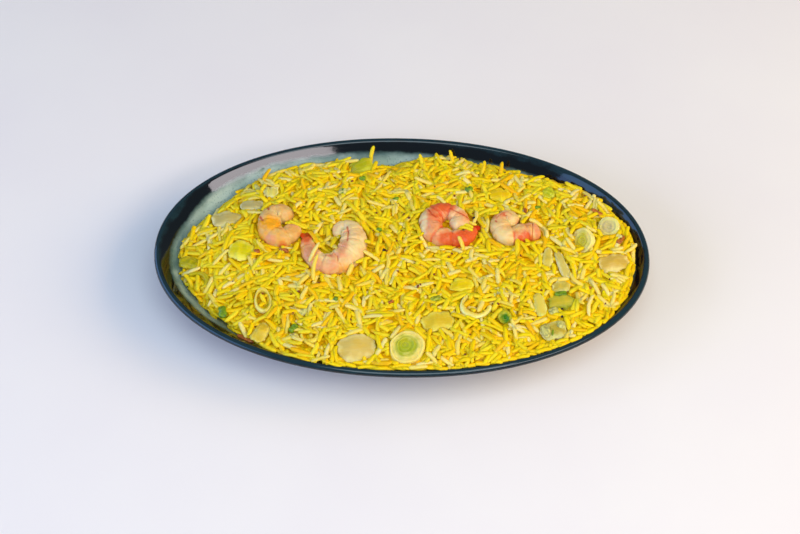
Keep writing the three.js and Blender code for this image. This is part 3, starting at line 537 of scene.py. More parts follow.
def shrimpBody(shrimp):
    # rings across the line: each segment of the shell swells towards its rear edge and steps in
    # at the next one, the back is fuller than the belly, and both ends are rounded off
    x, y, half = splineThrough(shrimp["line"], shrimpForm["rows"]).T
    stepX, stepY = np.gradient(x), np.gradient(y)
    length = np.cumsum(np.hypot(stepX, stepY))
    headX, headY = stepX / np.hypot(stepX, stepY), stepY / np.hypot(stepX, stepY)
    curl = np.sign((headX[:-1] * headY[1:] - headY[:-1] * headX[1:]).sum())
    part = length / length[-1] * round(length[-1] / shrimpForm["segment"]) % 1
    nip = np.exp(-(np.minimum(part, 1 - part) / 0.09) ** 2)
    swelling = 0.985 + 0.05 * (part - 0.5) - 0.07 * nip
    fromEnd = np.minimum(length, length[-1] - length) / (0.6 * half)
    closed = np.sqrt(1 - (1 - np.clip(fromEnd, 0.01, 1)) ** 2)
    around = roundAngles(shrimpForm["sides"])
    out = np.cos(around)
    lumps = 1 + 0.045 * wobble(length[:, None], 9 * out, 7.0, 3)
    lumps = lumps + 0.02 * wobble(length[:, None], 9 * out, 2.2, 4)
    size = (half * swelling * closed)[:, None] * lumps
    wide = size * signedPower(out, 0.9) * (1 - 0.06 * np.clip(-out, 0, 1)) * curl
    tall = size * shrimpForm["flatness"] * signedPower(np.sin(around), 0.9)
    points, faces = tube(x[:, None] + headY[:, None] * wide, y[:, None] - headX[:, None] * wide,
                         shrimpLevel(shrimp) + shrimpForm["raise"] * half[:, None] + tall)
    crease = creaseShare(points, shrimp["creases"]) * (points[:, 2] > shrimpLevel(shrimp))
    points[:, 2] -= shrimpForm["creaseDepth"] * crease
    joint = withPoles(nip[:, None] * (0.4 + 0.6 * np.clip(out, 0, 1)))
    return points, faces, {"crease": crease, "joint": joint, "tail": 0.0}


def tailLobes(shrimp):  # the fan: three flat lobes that spread from the end of the line
    line = splineThrough(shrimp["line"], 60)
    heading = np.arctan2(*(line[-1] - line[-6])[1::-1])
    parts = []
    for spread, reach, wide in shrimpForm["lobes"]:
        turn = heading + np.radians(spread)
        u = np.linspace(0.02, 0.98, 16)[:, None]
        around = roundAngles(16)
        lateral = wide * np.sin(np.pi * u**0.8) ** 0.6 * np.cos(around)
        x, y = spun(u * reach, lateral, turn)
        z = shrimpLevel(shrimp) + 2.2 + 0.6 * np.sin(around) * np.sin(np.pi * u) ** 0.5 - 1.2 * u
        parts.append((*tube(line[-3, 0] + x, line[-3, 1] + y, z + 0.06 * lateral**2),
                      {"crease": 0.0, "joint": 0.0, "tail": 1.0}))
    return parts


def cookedShrimp(add, place, shrimp):
    # cooked shrimp flesh: moist, milky and slightly clear, cream to peach, with coral pigment in
    # patches and where each segment ends, stained yellow by the rice's saffron oil
    shares = {label: add("Attribute", out="Fac", attribute_name=label)
              for label in ("joint", "tail", *pigments)}
    mottle = add("TexNoise", {"Scale": 330.0, "Detail": 5.0, "Roughness": 0.65,
                              "Vector": place})  # 3 mm blotches
    broad = add("TexNoise", {"Scale": 120.0, "Detail": 2.0, "Vector": place})
    colour = add("ValToRGB", {"Fac": broad}, [(0.38, shrimp["flesh"]), (0.62, shrimp["deep"])])
    shares["coral"] = add("Math", {0: shares["joint"], 1: shrimp["red"], 2: shares["coral"]},
                          operation="MULTIPLY_ADD")
    for label, pigment in pigments.items():
        spread = 0.25 if label == "crease" else 0.9
        blotched = add("Math", {0: mottle, 1: spread, 2: shares[label]}, operation="MULTIPLY_ADD")
        share = add("MapRange", {"Value": blotched, "From Min": 0.42 + spread / 2,
                                 "From Max": 0.95 + spread / 2, "To Max": 0.92})
        colour = add("Mix", {"Factor": share, "A": colour, "B": linear(pigment)}, data_type="RGBA")
    tail = linear(shrimp["tail"] or shrimp["deep"])
    colour = add("Mix", {"Factor": shares["tail"], "A": colour, "B": tail}, data_type="RGBA")
    fibre = add("TexNoise", {"Scale": 800.0, "Detail": 3.0, "Vector": place})
    relief = add("Bump", {"Height": fibre, "Strength": 0.3, "Distance": 0.0004})
    return {"Base Color": colour, "Roughness": 0.38, "IOR": 1.4, "Normal": relief,
            **soft(0.4, (1.0, 0.5, 0.25), 0.003)}


def makeShrimps():
    for name, shrimp in shrimps.items():
        lobes = tailLobes(shrimp) if shrimp["tail"] else []
        points, faces, values = joinParts([shrimpBody(shrimp), *lobes])
        for label in ("saffron", "blush", "milk", "coral"):
            values[label] = patchShare(points, shrimp[label])
        layOnField(points)
        addPiece("shrimp" + name.capitalize(), "shrimp_" + name,
                 ("cookedShrimp_" + name, cookedShrimp, shrimp), [(points, faces, values)])


makeShrimps()
print("shrimps:", len(shrimps))

# ---- spring onion: slices, cut rings, and curved petals of loose layers

# Each has its form, x and y, turn and lean and roll, its colour outside and at its heart, how
# clear it is, and its sizes: a petal's length, width and radius of bend, a slice's width and
# thickness and where its heart lies, and an arc's radius, breadth, sweep and narrowness
onions = {
    "slice_front": ("slice", (5, -70), (0, 14), "#ead978", "#a6b120", 0.15, (19, 4, -1.5, 1.5)),
    "half_front": ("petal", (-22, -70), (8, 12), "#ecd98a", "#d5bb62", 0.25, (21, 17, 15)),
    "crescent": ("arc", (42, -40.8), (-118,), "#eef09c", "#e5d05b", 0.15, (7.6, 3.4, 235, 1)),
    "green_stub": ("slice", (57, -47), (10, 52), "#acae24", "#367e11", 0.1, (7.4, 10, 0, 0)),
    "green_rim": ("petal", (88.5, -36), (12,), "#97a22b", "#bcb231", 0.3, (14, 11, 7)),
    "petal_right_front": ("petal", (76.5, -39), (100,), "#e0e076", "#ddcb57", 0.3, (15, 8, 6)),
    "clear_right_front": ("petal", (84, -55), (25,), "#d8d888", "#beaa3c", 0.4, (15, 12, 11)),
    "stub_right": ("slice", (117.8, 17), (-35, 28), "#e0dc84", "#cec184", 0.3, (12, 6, 0, 0)),
    "slice_right": ("slice", (102.5, 6), (-62, 48), "#eee186", "#cec531", 0.25, (14.5, 3.4, 0, 0)),
    "shell_right": ("petal", (119, -7.5), (10,), "#eed886", "#d4b24c", 0.3, (17, 13, 10)),
    "strip_pale": ("petal", (82, -7.5), (84,), "#ede48c", "#d5c04f", 0.35, (16, 6, 6)),
    "strip_spoon": ("petal", (90, -10.8), (104,), "#efecac", "#d2c366", 0.35, (21, 5.6, 5)),
    "clear_end": ("petal", (89, -26.6), (10,), "#e6e28e", "#cbb84c", 0.4, (10, 8, 8)),
    "skin_front": ("petal", (21, -52), (15,), "#eede5d", "#dec12e", 0.35, (18, 13, 22)),
    "ring_left": ("ring", (-75, -40), (98, 9), "#eee588", "#d4c44c", 0.25, (7, 2.4, 359.9, 0.6)),
    "curl_left": ("arc", (-48, -62), (-60,), "#eee167", "#e1c639", 0.25, (4.4, 2.6, 260, 1)),
    "half_left": ("petal", (-75, -59), (70,), "#ebd564", "#d7bc35", 0.3, (13, 9, 8)),
    "clear_back_left": ("petal", (-101, 19), (12,), "#dcd698", "#bbae6a", 0.4, (17, 11, 11)),
    "clear_back": ("petal", (-87, 28.7), (5,), "#d2d09c", "#b6ac72", 0.45, (14, 8, 9)),
    "square_yellow": ("petal", (-90, -6), (-12,), "#eee85d", "#dbce0b", 0.2, (14, 14, 24)),
    "leaf_left": ("petal", (-119.2, -9.5), (-18,), "#bbb41f", "#a6a008", 0.2, (13, 9, 12)),
    "arc_left": ("arc", (-114.5, -23), (40,), "#c3b81d", "#ada60f", 0.2, (6, 3, 200, 1)),
    "leaf_back": ("petal", (-26, 62), (20, 0, 14), "#c8ca2d", "#b0b011", 0.2, (15, 11, 9)),
    "green_back_right": ("petal", (84, 42), (60,), "#d3d541", "#b7be1e", 0.25, (9, 9, 6)),
    "yellow_back": ("petal", (56, 39), (8,), "#eed725", "#e5bf03", 0.2, (12, 10, 14)),
    "yellow_middle": ("petal", (34, -27), (14,), "#eee13e", "#e5c908", 0.25, (13, 9, 13)),
    "white_back": ("petal", (-77, 39), (-8,), "#eeeca0", "#d7cd66", 0.25, (8.5, 9, 12)),
}
onionForm = {"petalThick": 1.5, "arcHeight": 2.8, "vein": "#ece2a0", "stain": "#dcb820",
             "lift": {"slice": 0.9, "arc": 1.2, "ring": 1.6, "petal": 1.2}}


def petalParts(seed, length, width, bend):
    # a closed flat section, bent round a tube of radius bend, carried along the petal; it
    # narrows to both ends, and its outline and its skin waver
    u = np.linspace(-0.985, 0.985, 46)[:, None]
    around = roundAngles(56)
    opening = width / 2 / bend
    rim = np.sign(np.cos(around)) * 3
    edge = 1 + 0.11 * wobble(u * 5, rim, 5.0, seed) + 0.05 * wobble(u * 5, rim, 1.6, seed + 20)
    narrowing = (1 - 0.30 * u**2) * (1 - np.abs(u) ** 7) ** 0.5
    turn = opening * narrowing * edge * signedPower(np.cos(around), 0.8)
    thick = onionForm["petalThick"] / 2 * (1 - 0.6 * np.cos(around) ** 6) * (1 - 0.4 * np.abs(u) ** 3)
    radius = bend + thick * signedPower(np.sin(around), 0.55)
    radius = radius + 0.3 * wobble(u * 7, turn * bend * 0.8, 6.0, seed + 50)
    radius = radius + 0.06 * np.cos(turn * bend * 2 * np.pi / 1.5) * np.sign(np.sin(around))
    x = u * length / 2 + 0.4 * wobble(turn * bend, u * 3, 4.0, seed + 70)
    y = radius * np.sin(turn)
    z = radius * np.cos(turn) - bend * np.cos(opening * 0.6) - u**2 * length / 14
    inner = np.clip(1 - np.maximum(np.abs(turn) / opening, np.abs(u) ** 3), 0, 1)
    return *tube(x, y, z), {"inner": withPoles(inner), "grain": withPoles(y)}


def sliceParts(seed, width, thick, heartX, heartY):
    # a profile turned once round: the layers show as shallow rings on both cut faces, round a
    # heart that lies off the middle
    half, radius = thick / 2, width / 2
    face = np.linspace(0.02, 0.93, 30)
    r = np.concatenate([face, [0.97, 1.0, 1.0, 1.0, 0.97], face[::-1]])[:, None]
    z = np.concatenate([np.full(30, -1.0), [-0.93, -0.6, 0.0, 0.6, 0.93], np.full(30, 1.0)])[:, None]
    flat = (np.abs(z) > 0.99) * np.sign(z)
    relief = 0.22 * np.cos(r * radius * 2 * np.pi / 2.2) - 0.6 * np.exp(-(r / 0.35) ** 2)
    level = z * half + relief * flat
    around = roundAngles(56)
    uneven = 1 + 0.04 * np.sin(2 * around + seed) + 0.02 * np.sin(5 * around + 2 * seed)
    x = r * radius * uneven * np.cos(around) + (1 - r) * heartX
    y = r * radius * uneven * np.sin(around) + (1 - r) * heartY
    level = level + 0.3 * np.sin(3 * around + seed) * r + 0.2 * np.sin(7 * around) * r**4
    inner, grain = 1 - r + 0 * around, r * radius + 0 * around
    return *tube(x, y, level), {"inner": withPoles(inner, (1, 1)), "grain": withPoles(grain)}


def arcParts(seed, radius, breadth, sweep, narrow):
    # a rounded bar bent round an oval; an open arc thins to half its width at its tips, and a
    # whole ring closes on itself
    whole = sweep > 359
    share = np.linspace(0, 1, 84)[:, None]
    turn = (share - 0.5) * np.radians(sweep)
    tip = 1.0 if whole else 1 - 0.5 * np.abs(2 * share - 1) ** 2
    ends = 1.0 if whole else np.clip(np.minimum(share, 1 - share) / 0.03, 0.05, 1) ** 0.5
    around = roundAngles(20)
    wide = breadth / 2 * tip * ends * (1 + 0.16 * np.sin(3 * turn + seed))
    out = radius * (1 + 0.04 * np.sin(2 * turn + seed)) + wide * signedPower(np.cos(around), 0.75)
    tall = onionForm["arcHeight"] / 2 * ends * (1 + 0.12 * np.sin(4 * turn + seed))
    z = tall * signedPower(np.sin(around), 0.75) + 0.4 * np.sin(2 * turn + seed)
    inner = (1 - np.cos(around)) / 2 + 0 * share
    return (*tube(out * np.cos(turn), out * np.sin(turn) * narrow, z),
            {"inner": withPoles(inner), "grain": withPoles(out)})


onionMakers = {"petal": petalParts, "slice": sliceParts, "arc": arcParts, "ring": arcParts}


def springOnion(add, place, skin, core, clear):
    # spring onion, briefly fried: wet, half-clear layers with fine veins along them, paler at
    # the cut edges, round a green or yellow heart
    inner = add("Attribute", out="Fac", attribute_name="inner")
    layer = add("Attribute", out="Fac", attribute_name="grain")
    blur = add("TexNoise", {"Scale": 260.0, "Detail": 4.0, "Vector": place})
    heart = add("Math", {0: blur, 1: 0.9, 2: inner}, operation="MULTIPLY_ADD")
    share = add("MapRange", {"Value": heart, "From Min": 0.6, "From Max": 1.05})
    base = add("Mix", {"Factor": share, "A": linear(skin), "B": linear(core)}, data_type="RGBA")
    lines = add("CombineXYZ", {"X": layer})
    veins = add("TexNoise", {"Scale": 1.3, "Detail": 3.0, "Vector": lines})  # 0.8 mm apart
    vein = add("MapRange", {"Value": veins, "From Min": 0.52, "From Max": 0.8, "To Max": 0.28})
    veined = add("Mix", {"Factor": vein, "A": base, "B": linear(onionForm["vein"])}, data_type="RGBA")
    oil = add("TexNoise", {"Scale": 170.0, "Detail": 2.0, "Vector": place})  # in 6 mm patches
    stain = add("MapRange", {"Value": oil, "From Min": 0.5, "From Max": 0.7, "To Max": 0.28})
    colour = add("Mix", {"Factor": stain, "A": veined, "B": linear(onionForm["stain"])}, data_type="RGBA")
    relief = add("Bump", {"Height": veins, "Strength": 0.4, "Distance": 0.0004})
    return {"Base Color": colour, "Roughness": 0.3, "IOR": 1.36, "Specular IOR Level": 0.3,
            "Transmission Weight": 0.15 * clear, "Normal": relief, **soft(0.7, (1.0, 0.9, 0.4), 0.003)}


def laid(points, x, y, lift, turn=0, lean=0, roll=0):  # leant about X, rolled about Y, turned about Z
    right, back, up = points.T
    back, up = spun(back, up, np.radians(lean))
    right, up = spun(right, up, np.radians(roll))
    right, back = spun(right, back, np.radians(turn))
    return np.stack([right + x, back + y, up + float(heapHeight(x, y)) + lift], -1)


def makeOnions():
    for seed, (name, (form, place, angles, skin, core, clear, sizes)) in enumerate(onions.items()):
        points, faces, values = onionMakers[form](seed, *sizes)
        points = laid(points, *place, onionForm["lift"][form], *angles)
        layOnField(points)
        finish = ("springOnion_" + name, springOnion, skin, core, clear)
        addPiece("onion_" + name + "_cut", "onion_" + name, finish, [(points, faces, values)])


makeOnions()
print("onions:", len(onions))

# ---- rice: a core, and thousands of grains laid one by one on the raster

rice = {
    "step": 1.9, "rise": 0.75,  # height of the rice's border over the wall, and its slope inwards
    "coreDrop": 0.9,  # the core's top lies this far under the heap's mean height
    "grainLength": 10.9, "grainWidth": 2.8, "flatness": 0.64,
    "lengths": (0.75, 1.2), "widths": (0.82, 1.12), "brokenLengths": (0.4, 0.7), "broken": 0.2,
    "scatter": 0.2, "tilt": 0.1,  # radians off the grain underneath, slope off the one at rest
    "full": -0.3, "highest": 2.2,  # laying stops this near to the fill, and no grain lies higher
    "sink": -0.12,  # how much of its width a grain's middle lies over the grains under it
    "picks": 14,  # places tried for each grain, of which the lowest is taken
    "beside": 0.4,  # share of grains that lie along the one under them
    "layers": [  # grains, height over the heap's mean height that they fill up to, most slope
        {"grains": 2200, "fill": -0.2, "slope": 0.22, "under": True},
        {"grains": 6400, "fill": 0.9, "slope": 0.5, "under": False},
    ],
    "seed": 7,
    # how far inside the heap's edge the grains stop, mm, at angles round the oval
    "border": [(-180, -1), (-167, -1.4), (-150, 1.9), (-136, 1), (-124, -2), (-112, -4), (-40, -4),
               (-23, -1.2), (-9, 1.5), (2, 1.2), (12, 0.6), (22, 1.8), (40, 1.2), (50, 4), (70, 3),
               (78, 0.5), (85, 1.5), (92, 6.5), (96, 6), (102, 2.6), (115, 2.2), (131, 2.6), (146, 5.6),
               (155, 5.2), (168, 1.9), (180, -1)],
    # painted light on the grains' flanks, standing in for light shining through them
    "flank": "#ffcf18",
    # the core shows only in the gaps; its bright amber is painted warm light there
    "core": ("#ecb400", "#f0c400"),
    "kinds": {  # share of the upper grains, dark and light; amber grains lie underneath
        # the amber grains lie underneath, in the gaps; their colour, brighter and warmer than the grains on
        # top, is painted warm light in the shade
        "amber": (0.0, "#f0c000", "#f4d404"), "pale": (0.28, "#e6cc3c", "#ecdd8c"),
        "lemon": (0.31, "#e3c808", "#ead828"), "yellow": (0.29, "#e5c200", "#ecd406"),
        "golden": (0.12, "#e6b000", "#eec402"),
    },
}


def riceBorder(angle):
    return np.maximum(edgeInset(angle) + roundOval(rice["border"], angle), 3.2)


def riceHeight(x, y, inset, angle):  # the heap, but rising from the rice's border at a slope
    border = riceBorder(angle)
    rising = wallHeight(border) + rice["step"] + rice["rise"] * np.maximum(inset - border, 0)
    full = heapHeight(x, y)
    full = np.where(inset < border + 4, np.maximum(full, wallHeight(inset) + 1.5), full)
    return np.minimum(full, rising)


def cookedRice(add, place, dark, light):
    # cooked long-grain rice fried in oil with saffron: soft, half-clear, satin with oil, and
    # dyed unevenly along each grain; its flanks get a painted orange-yellow glow, standing in for light
    # through the grain
    tint = add("Attribute", out="Fac", attribute_name="tint")
    blur = add("TexNoise", {"Scale": 300.0, "Detail": 3.0, "Vector": place})
    mixed = add("Math", {0: blur, 1: 1.5, 2: tint}, operation="MULTIPLY_ADD")
    share = add("MapRange", {"Value": mixed, "From Min": 0.6, "From Max": 1.9})
    dyed = add("Mix", {"Factor": share, "A": linear(dark), "B": linear(light)}, data_type="RGBA")
    upward = add("SeparateXYZ", {"Vector": add("NewGeometry", out="Normal")}, out="Z")
    # painted light: the further a face turns from facing up, the more its colour goes to the bright flank
    # colour
    flank = add("MapRange", {"Value": upward, "From Min": 0.85, "From Max": 0.1, "To Max": 0.75})
    colour = add("Mix", {"Factor": flank, "A": dyed, "B": linear(rice["flank"])}, data_type="RGBA")
    return {"Base Color": colour, "Roughness": 0.45, "Specular IOR Level": 0.2,
            **soft(0.6, (1.0, 0.85, 0.25), 0.002)}


def makeCore():
    # rings from the rice's border in to its middle, over the same rings on the dish's wall
    angle = roundAngles(200)
    edge = riceBorder(angle) + 1.4
    share = np.linspace(0, 1, 46)[1:-1, None]
    inset = edge + (dish["halfWidth"] - 1 - edge) * share
    x, y = ovalPoint(inset, angle)
    relief = 0.35 * wobble(x, y, 7.0, 21) + 0.25 * wobble(x, y, 3.5, 22)
    top = riceHeight(x, y, inset, angle) - rice["coreDrop"] * np.minimum(share / 0.08, 1) + relief
    top = np.maximum(top, wallHeight(inset) + 1.0)
    low = wallHeight(inset) + heap["seat"]
    points, faces = tube(*(np.concatenate(pair) for pair in ((x[::-1], x), (y[::-1], y), (top[::-1], low))))
    addPiece("riceCore", "rice_heap", ("cookedRice_core", cookedRice, *rice["core"]),
             [(points, faces, {"tint": 0.5})])


def chooseTurn(draw, top, lying, border, x, y, spot, length, under):
    # along the grain underneath or any way, tried again where an end would leave the heap or
    # where too much of the grain would cover a topping
    mostCovered = 3 if draw.random() < 0.3 else 2
    for attempt in range(4):
        follows = attempt == 0 and np.isfinite(lying[spot]) and draw.random() < rice["beside"]
        turn = lying[spot] + draw.normal(0, rice["scatter"]) if follows else draw.uniform(0, np.pi)
        dx, dy = spun(stations * length, 0, turn)
        i, j = cellOf(x + dx, y + dy)
        inHeap = (planInset[i, j] > border[i, j] + 0.3).all()
        if inHeap and (under or (toppingTop[i, j] > planHeap[i, j] - 1.0).sum() < mostCovered):
            return turn
    return None


stations = np.linspace(-0.46, 0.46, 9)  # places along a grain, as shares of its length


def settle(draw, top, x, y, turn, length, width, steepest):
    # slope and height of a grain that rests on one point either side of its middle: of all pairs
    # of stations, the pair whose line passes highest under the middle
    along = stations * length
    dx, dy = spun(along, np.array([[-0.3], [0], [0.3]]) * width, turn)
    below = top[cellOf(x + dx, y + dy)].max(0)
    left, right = along[:4, None], along[None, 5:]
    pivot = (below[:4, None] * right - below[None, 5:] * left) / (right - left)
    a, b = np.unravel_index(np.argmax(pivot), pivot.shape)
    slope = (below[5 + b] - below[a]) / (along[5 + b] - along[a])
    slope = np.clip(slope + draw.normal(0, rice["tilt"]), -steepest, steepest)
    return slope, np.quantile(below - slope * along, 0.6) + rice["sink"] * width


def drawGrain(top, lying, x, y, z, turn, slope, length, width):
    # the raster takes the upper half of the grain, whose plan is |run|^4 + lateral^2 < 1, as
    # shares of half its length and half its width
    reach = int(np.ceil(length / 2 / cell)) + 3
    i, j = cellOf(x, y)
    near = (slice(max(i - reach, 0), i + reach + 1), slice(max(j - reach, 0), j + reach + 1))
    run, lateral = spun(planX[near] - x, planY[near] - y, -turn)
    inside = np.clip(1 - np.abs(2 * run / length) ** 4 - (2 * lateral / width) ** 2, 0, None)
    grainTop = z + slope * run + rice["flatness"] / 2 * width * np.sqrt(inside)
    lying[near] = np.where((inside > 0) & (grainTop > top[near]), turn, lying[near])
    top[near] = np.where(inside > 0, np.maximum(top[near], grainTop), top[near])


def layGrains(draw):
    # each grain goes where the surface is lowest among a few random places, falls until it
    # rests, and is drawn into the raster
    wall = np.where(planInset < 3.6, dish["height"] + 0.5, wallHeight(planInset))
    border = riceBorder(planAngle)
    mean = riceHeight(planX, planY, planInset, planAngle)
    top = np.maximum(wall, np.where(planInset > border + 2, mean - rice["coreDrop"], wall))
    rough = 0.8 * wobble(planX, planY, 11.0, 31) + 0.5 * wobble(planX, planY, 5.5, 32)
    lying = np.full(planX.shape, np.nan)  # turn of the grain that lies on top
    laidGrains = []
    for layer in rice["layers"]:
        under = layer["under"]
        if not under:
            top = np.maximum(top, toppingTop)
        target = mean + layer["fill"] + (0.3 if under else 1.0) * rough
        target = np.where(planInset < border + 2.5, mean + min(layer["fill"], 0.3), target)
        free = toppingTop < planHeap - 1.5
        places = np.argwhere((planInset > border + 0.5) & (free | under))
        for _ in range(layer["grains"]):
            picks = places[draw.integers(len(places), size=rice["picks"])]
            deficit = target[picks[:, 0], picks[:, 1]] - top[picks[:, 0], picks[:, 1]]
            spot = tuple(picks[np.argmax(deficit)])
            if deficit.max() < rice["full"]:
                break
            x, y = gridX[spot[0]] + draw.uniform(-0.4, 0.4), gridY[spot[1]] + draw.uniform(-0.4, 0.4)
            lengths = rice["brokenLengths" if draw.random() < rice["broken"] else "lengths"]
            length = rice["grainLength"] * draw.uniform(*lengths)
            width = rice["grainWidth"] * draw.uniform(*rice["widths"])
            turn = chooseTurn(draw, top, lying, border, x, y, spot, length, under)
            if turn is None:
                continue
            slope, z = settle(draw, top, x, y, turn, length, width, layer["slope"])
            if z < target[spot] + rice["highest"]:
                drawGrain(top, lying, x, y, z, turn, slope, length, width)
                laidGrains.append((x, y, z, turn, slope, length, width, under))
        print("grains laid:", len(laidGrains))
    return np.array(laidGrains), top


grainRings = np.array([-0.488, -0.455, -0.36, 0, 0.36, 0.455, 0.488])  # shares of its length
grainSides = 6
grainPoints = len(grainRings) * grainSides + 2


def grainParts(grains, draw):
    # a blunt bar: its half width is (1 - (2s)^6)^(1/2) at a share s of its length, and it bends
    # and sags a little
    share = grainRings[None, :, None]
    around = roundAngles(grainSides)[None]
    x, y, z, turn, slope, length, width = (grains[:, k][:, None, None] for k in range(7))
    count = len(grains)
    half = width / 2 * (1 - (2 * share) ** 6) ** 0.5
    half = half * (1 - 0.16 * share * draw.choice([-1, 1], (count, 1, 1)))
    bend = draw.normal(0, 0.65, (count, 1, 1)) * (4 * share**2 - 0.33) * (length / 11)
    sag = -0.3 * np.abs(draw.normal(0, 1, (count, 1, 1))) * (4 * share**2 - 0.33)
    roll = draw.uniform(0, np.pi / 3, (count, 1, 1))
    lateral = half * np.cos(around + roll) + bend
    vertical = half * rice["flatness"] * np.sin(around + roll) + sag
    dx, dy = spun(share * length, lateral, turn)
    rings = np.stack([x + dx, y + dy, z + share * length * slope + vertical], -1)
    step = np.stack([np.cos(turn), np.sin(turn), slope], -1)[:, 0, 0] * 0.01 * length[:, :, 0]
    ends = np.stack([rings[:, 0].mean(1) - step, rings[:, -1].mean(1) + step], 1)
    points = np.concatenate([rings.reshape(count, -1, 3), ends], 1).reshape(-1, 3)
    first = (np.arange(count) * grainPoints)[:, None, None]
    faces = tubeFaces(len(grainRings), grainSides)
    return points, [(group[None] + first).reshape(-1, group.shape[1]) for group in faces]


loose = [  # grains that stick out or lie on a topping: x, y, height over the heap, turn, slope, length
    (10.4, 63.9, 2.5, -71, -0.8, 9, "lemon"), (27.8, 68.2, 2.4, 99, 0.8, 9, "yellow"),
    (46, 58.4, 2.4, 73, 0.6, 10, "yellow"), (56.8, 59, 2.2, 82, 0.5, 10, "golden"),
    (-19.7, 70, 3, 80, 0.9, 9, "lemon"), (-81.5, 51.4, 2, 66, 0.4, 12, "golden"),
    (-48.4, -11.6, 8.0, -111, -0.12, 13.4, "pale"), (-47.6, -22, 6.4, -97, -0.5, 13.5, "pale"),
    (-49.7, 2.9, 4.4, -61, 0.1, 11.7, "golden"), (33.6, -2.3, 6.6, -68, -0.35, 8.4, "pale"),
    (36.6, 12.9, 4.6, -24, 0, 8.6, "lemon"), (36.5, 9.8, 5.6, -18, 0, 8, "lemon"),
    (38.6, 16.0, 3.6, -31, 0, 8, "pale"), (34.5, 11.5, 4.2, 40, 0, 8, "yellow"),
    (104.1, -38.5, 2.6, 78, 0.1, 14, "pale"), (126.4, 5.5, 2.2, 65, 0.3, 11, "golden"),
    (129.7, 2.3, 2.2, 41, 0.1, 9, "pale"), (56.4, -33.4, 2.6, -47, 0, 9, "pale"),
]
looseWidth = 2.4


def chooseKinds(grains, draw):
    # golden grains gather in broad patches, pale ones in smaller ones, and lemon ones towards
    # the -X and +Y sides
    x, y = grains[:, 0], grains[:, 1]
    odds = np.array([share for share, *_ in rice["kinds"].values()]) * np.ones((len(grains), 1))
    amber, pale, lemon, yellow, golden = odds.T
    golden *= 0.4 + 1.2 * np.clip(0.5 + 0.45 * wobble(x, y, 70.0, 41), 0, 1)
    lemon *= 0.5 + np.clip(0.5 - x / 300 + y / 200, 0, 1)
    pale *= np.clip(0.9 + 0.6 * wobble(x, y, 34.0, 43), 0.3, 1.8)
    limits = np.cumsum(odds, 1) / odds.sum(1)[:, None]
    # grains that lie underneath all take the amber kind, whose colour is painted warm light in the gaps
    return np.where(grains[:, 7] > 0, 0, (draw.random(len(grains))[:, None] > limits).sum(1))


def makeRice():
    makeCore()
    draw = np.random.default_rng(rice["seed"])
    grains, top = layGrains(draw)
    choice = chooseKinds(grains, draw)
    for number, (name, (_, dark, light)) in enumerate(rice["kinds"].items()):
        extra = [(x, y, float(heapHeight(x, y)) + lift, np.radians(turn), slope, length, looseWidth, 0)
                 for x, y, lift, turn, slope, length, kind in loose if kind == name]
        chosen = np.concatenate([grains[choice == number], np.reshape(extra, (-1, 8))])
        points, faces = grainParts(chosen, draw)
        tint = np.repeat(draw.random(len(chosen)), grainPoints)
        addPiece(name + "Rice", "rice_heap", ("cookedRice_" + name, cookedRice, dark, light),
                 [(points, faces, {"tint": tint})])
        print(name, "grains:", len(chosen))
    return top


riceTop = makeRice()
print("rice")

# ---- small bits in the rice: carrot, fried crumbs, green snips, clear onion and pepper

bits = {  # colour; x, y, along, across, turn
    "carrot": ("#cf7a1c", [(111.4, 27.5, 8, 2.4, -38)]),
    "crumb": ("#bc6a1c", [
        (123.4, 8, 7, 4, 60), (104.4, -26.5, 3, 2, 40), (-83.5, -60.8, 11, 4.4, -22),
        (-65.8, -6.4, 6, 2.6, -20), (-80.8, -8, 3.6, 3, 10), (70.1, 26.8, 4.4, 2, 85),
        (-4.6, -40.2, 3.4, 2, 30)]),
    "snip": ("#7aa00a", [
        (-97, -45, 8, 4.4, 100), (-24, 50, 5, 3.6, 70), (-4, 34, 3.6, 2.6, 20), (38, 42, 5, 3.4, 10),
        (77, 29.9, 4.6, 2, 8), (-35, 38, 4, 2.4, 80), (-57, -58, 6, 3.6, 50), (83.6, -56.3, 6, 1, 80),
        (-34.7, -39.8, 4, 2.4, 85), (-13, 10, 3.4, 2.2, 0), (88.5, -32, 7, 3, 5)]),
    "leaflet": ("#b2bf28", [(20, -37.1, 6.5, 3.4, 16), (1.6, -66.7, 2.2, 1.8, 0)]),
    "clear": ("#d6d274", [
        (-51.5, -46, 8, 4.6, 50), (-84, 41, 12, 3.4, -62), (79.8, -56, 5, 9, 10), (84.5, -42.5, 6, 5, 30),
        (88.1, -51.6, 5, 4.5, 70), (55.6, -32.4, 6, 2.6, 40), (-34.9, 37.9, 5, 4, 0)]),
    "pepper": ("#2a1c10", [
        (40.9, 20.5, 2.0, 1.8, 0), (-9.7, -3.6, 2.2, 1.8, 30), (88.9, -41.5, 1.6, 1.2, 40),
        (88.8, -46.6, 1.4, 1.2, 0)]),
}
spice = {"colour": "#8a3c06", "specks": 150, "seed": 19, "reach": (128, 76)}
bitThick = 2.6  # no bit is thicker


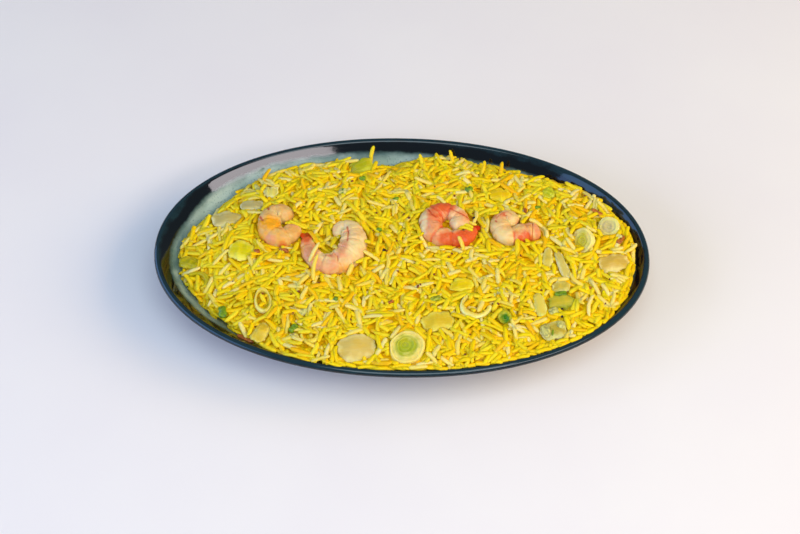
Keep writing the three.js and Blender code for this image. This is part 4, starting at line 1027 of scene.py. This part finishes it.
def friedBit(add, place, colour):  # moist fried vegetable and spice: satin, darker in its folds
    mottle = add("TexNoise", {"Scale": 700.0, "Detail": 4.0, "Vector": place})
    dark = "#%02x%02x%02x" % tuple(int(int(colour[i:i + 2], 16) * 0.7) for i in (1, 3, 5))
    # painted shade: the noise that raises the bump also sets the colour, so the bit is darker where its
    # relief is low, in its folds
    tone = add("ValToRGB", {"Fac": mottle}, [(0.35, dark), (0.6, colour)])
    relief = add("Bump", {"Height": mottle, "Strength": 0.4, "Distance": 0.0003})
    return {"Base Color": tone, "Roughness": 0.4, "Normal": relief, **soft(0.3, (1.0, 0.7, 0.3), 0.002)}


def bitParts(x, y, along, across, turn, seed, rows=14, sides=16):
    # a rounded chunk: an ellipsoid of full section, with an uneven skin
    u = np.linspace(-0.97, 0.97, rows)[:, None]
    around = roundAngles(sides)
    section = (1 - np.abs(u) ** 3) ** 0.4 * (1 + 0.2 * wobble(u * 3, around * 2, 4.0, seed))
    thick = min(across, bitThick)
    points, faces = tube(u * along / 2, across / 2 * section * signedPower(np.cos(around), 0.8),
                         thick / 2 * section * signedPower(np.sin(around), 0.8))
    right, back = spun(*points.T[:2], np.radians(turn))
    place = cellOf(x, y)
    level = min(float(riceTop[place]), float(planHeap[place]) + 2.2) - 0.1 * thick
    return np.stack([right + x, back + y, points[:, 2] + level], -1), faces, {}


def spiceParts():  # browned specks, lodged between the grains
    draw = np.random.default_rng(spice["seed"])
    parts = []
    for seed in range(spice["specks"]):
        x, y = (draw.uniform(-reach, reach) for reach in spice["reach"])
        place = cellOf(x, y)
        inRice = planInset[place] > edgeInset(planAngle[place]) + 3
        if inRice and toppingTop[place] < planHeap[place] - 1:
            size = draw.uniform(0.6, 1.3)
            parts.append(bitParts(x, y, size * draw.uniform(1, 1.6), size, draw.uniform(0, 180), seed, 6, 8))
    return parts


def makeBits():
    for name, (colour, places) in bits.items():
        parts = [bitParts(*place, seed=seed) for seed, place in enumerate(places)]
        addPiece(name + "Bits", "rice_heap", ("friedBit_" + name, friedBit, colour), parts)
    specks = spiceParts()
    addPiece("spiceSpecks", "rice_heap", ("friedBit_spice", friedBit, spice["colour"]), specks)
    print("bits and specks:", sum(len(places) for _, places in bits.values()), len(specks))


makeBits()
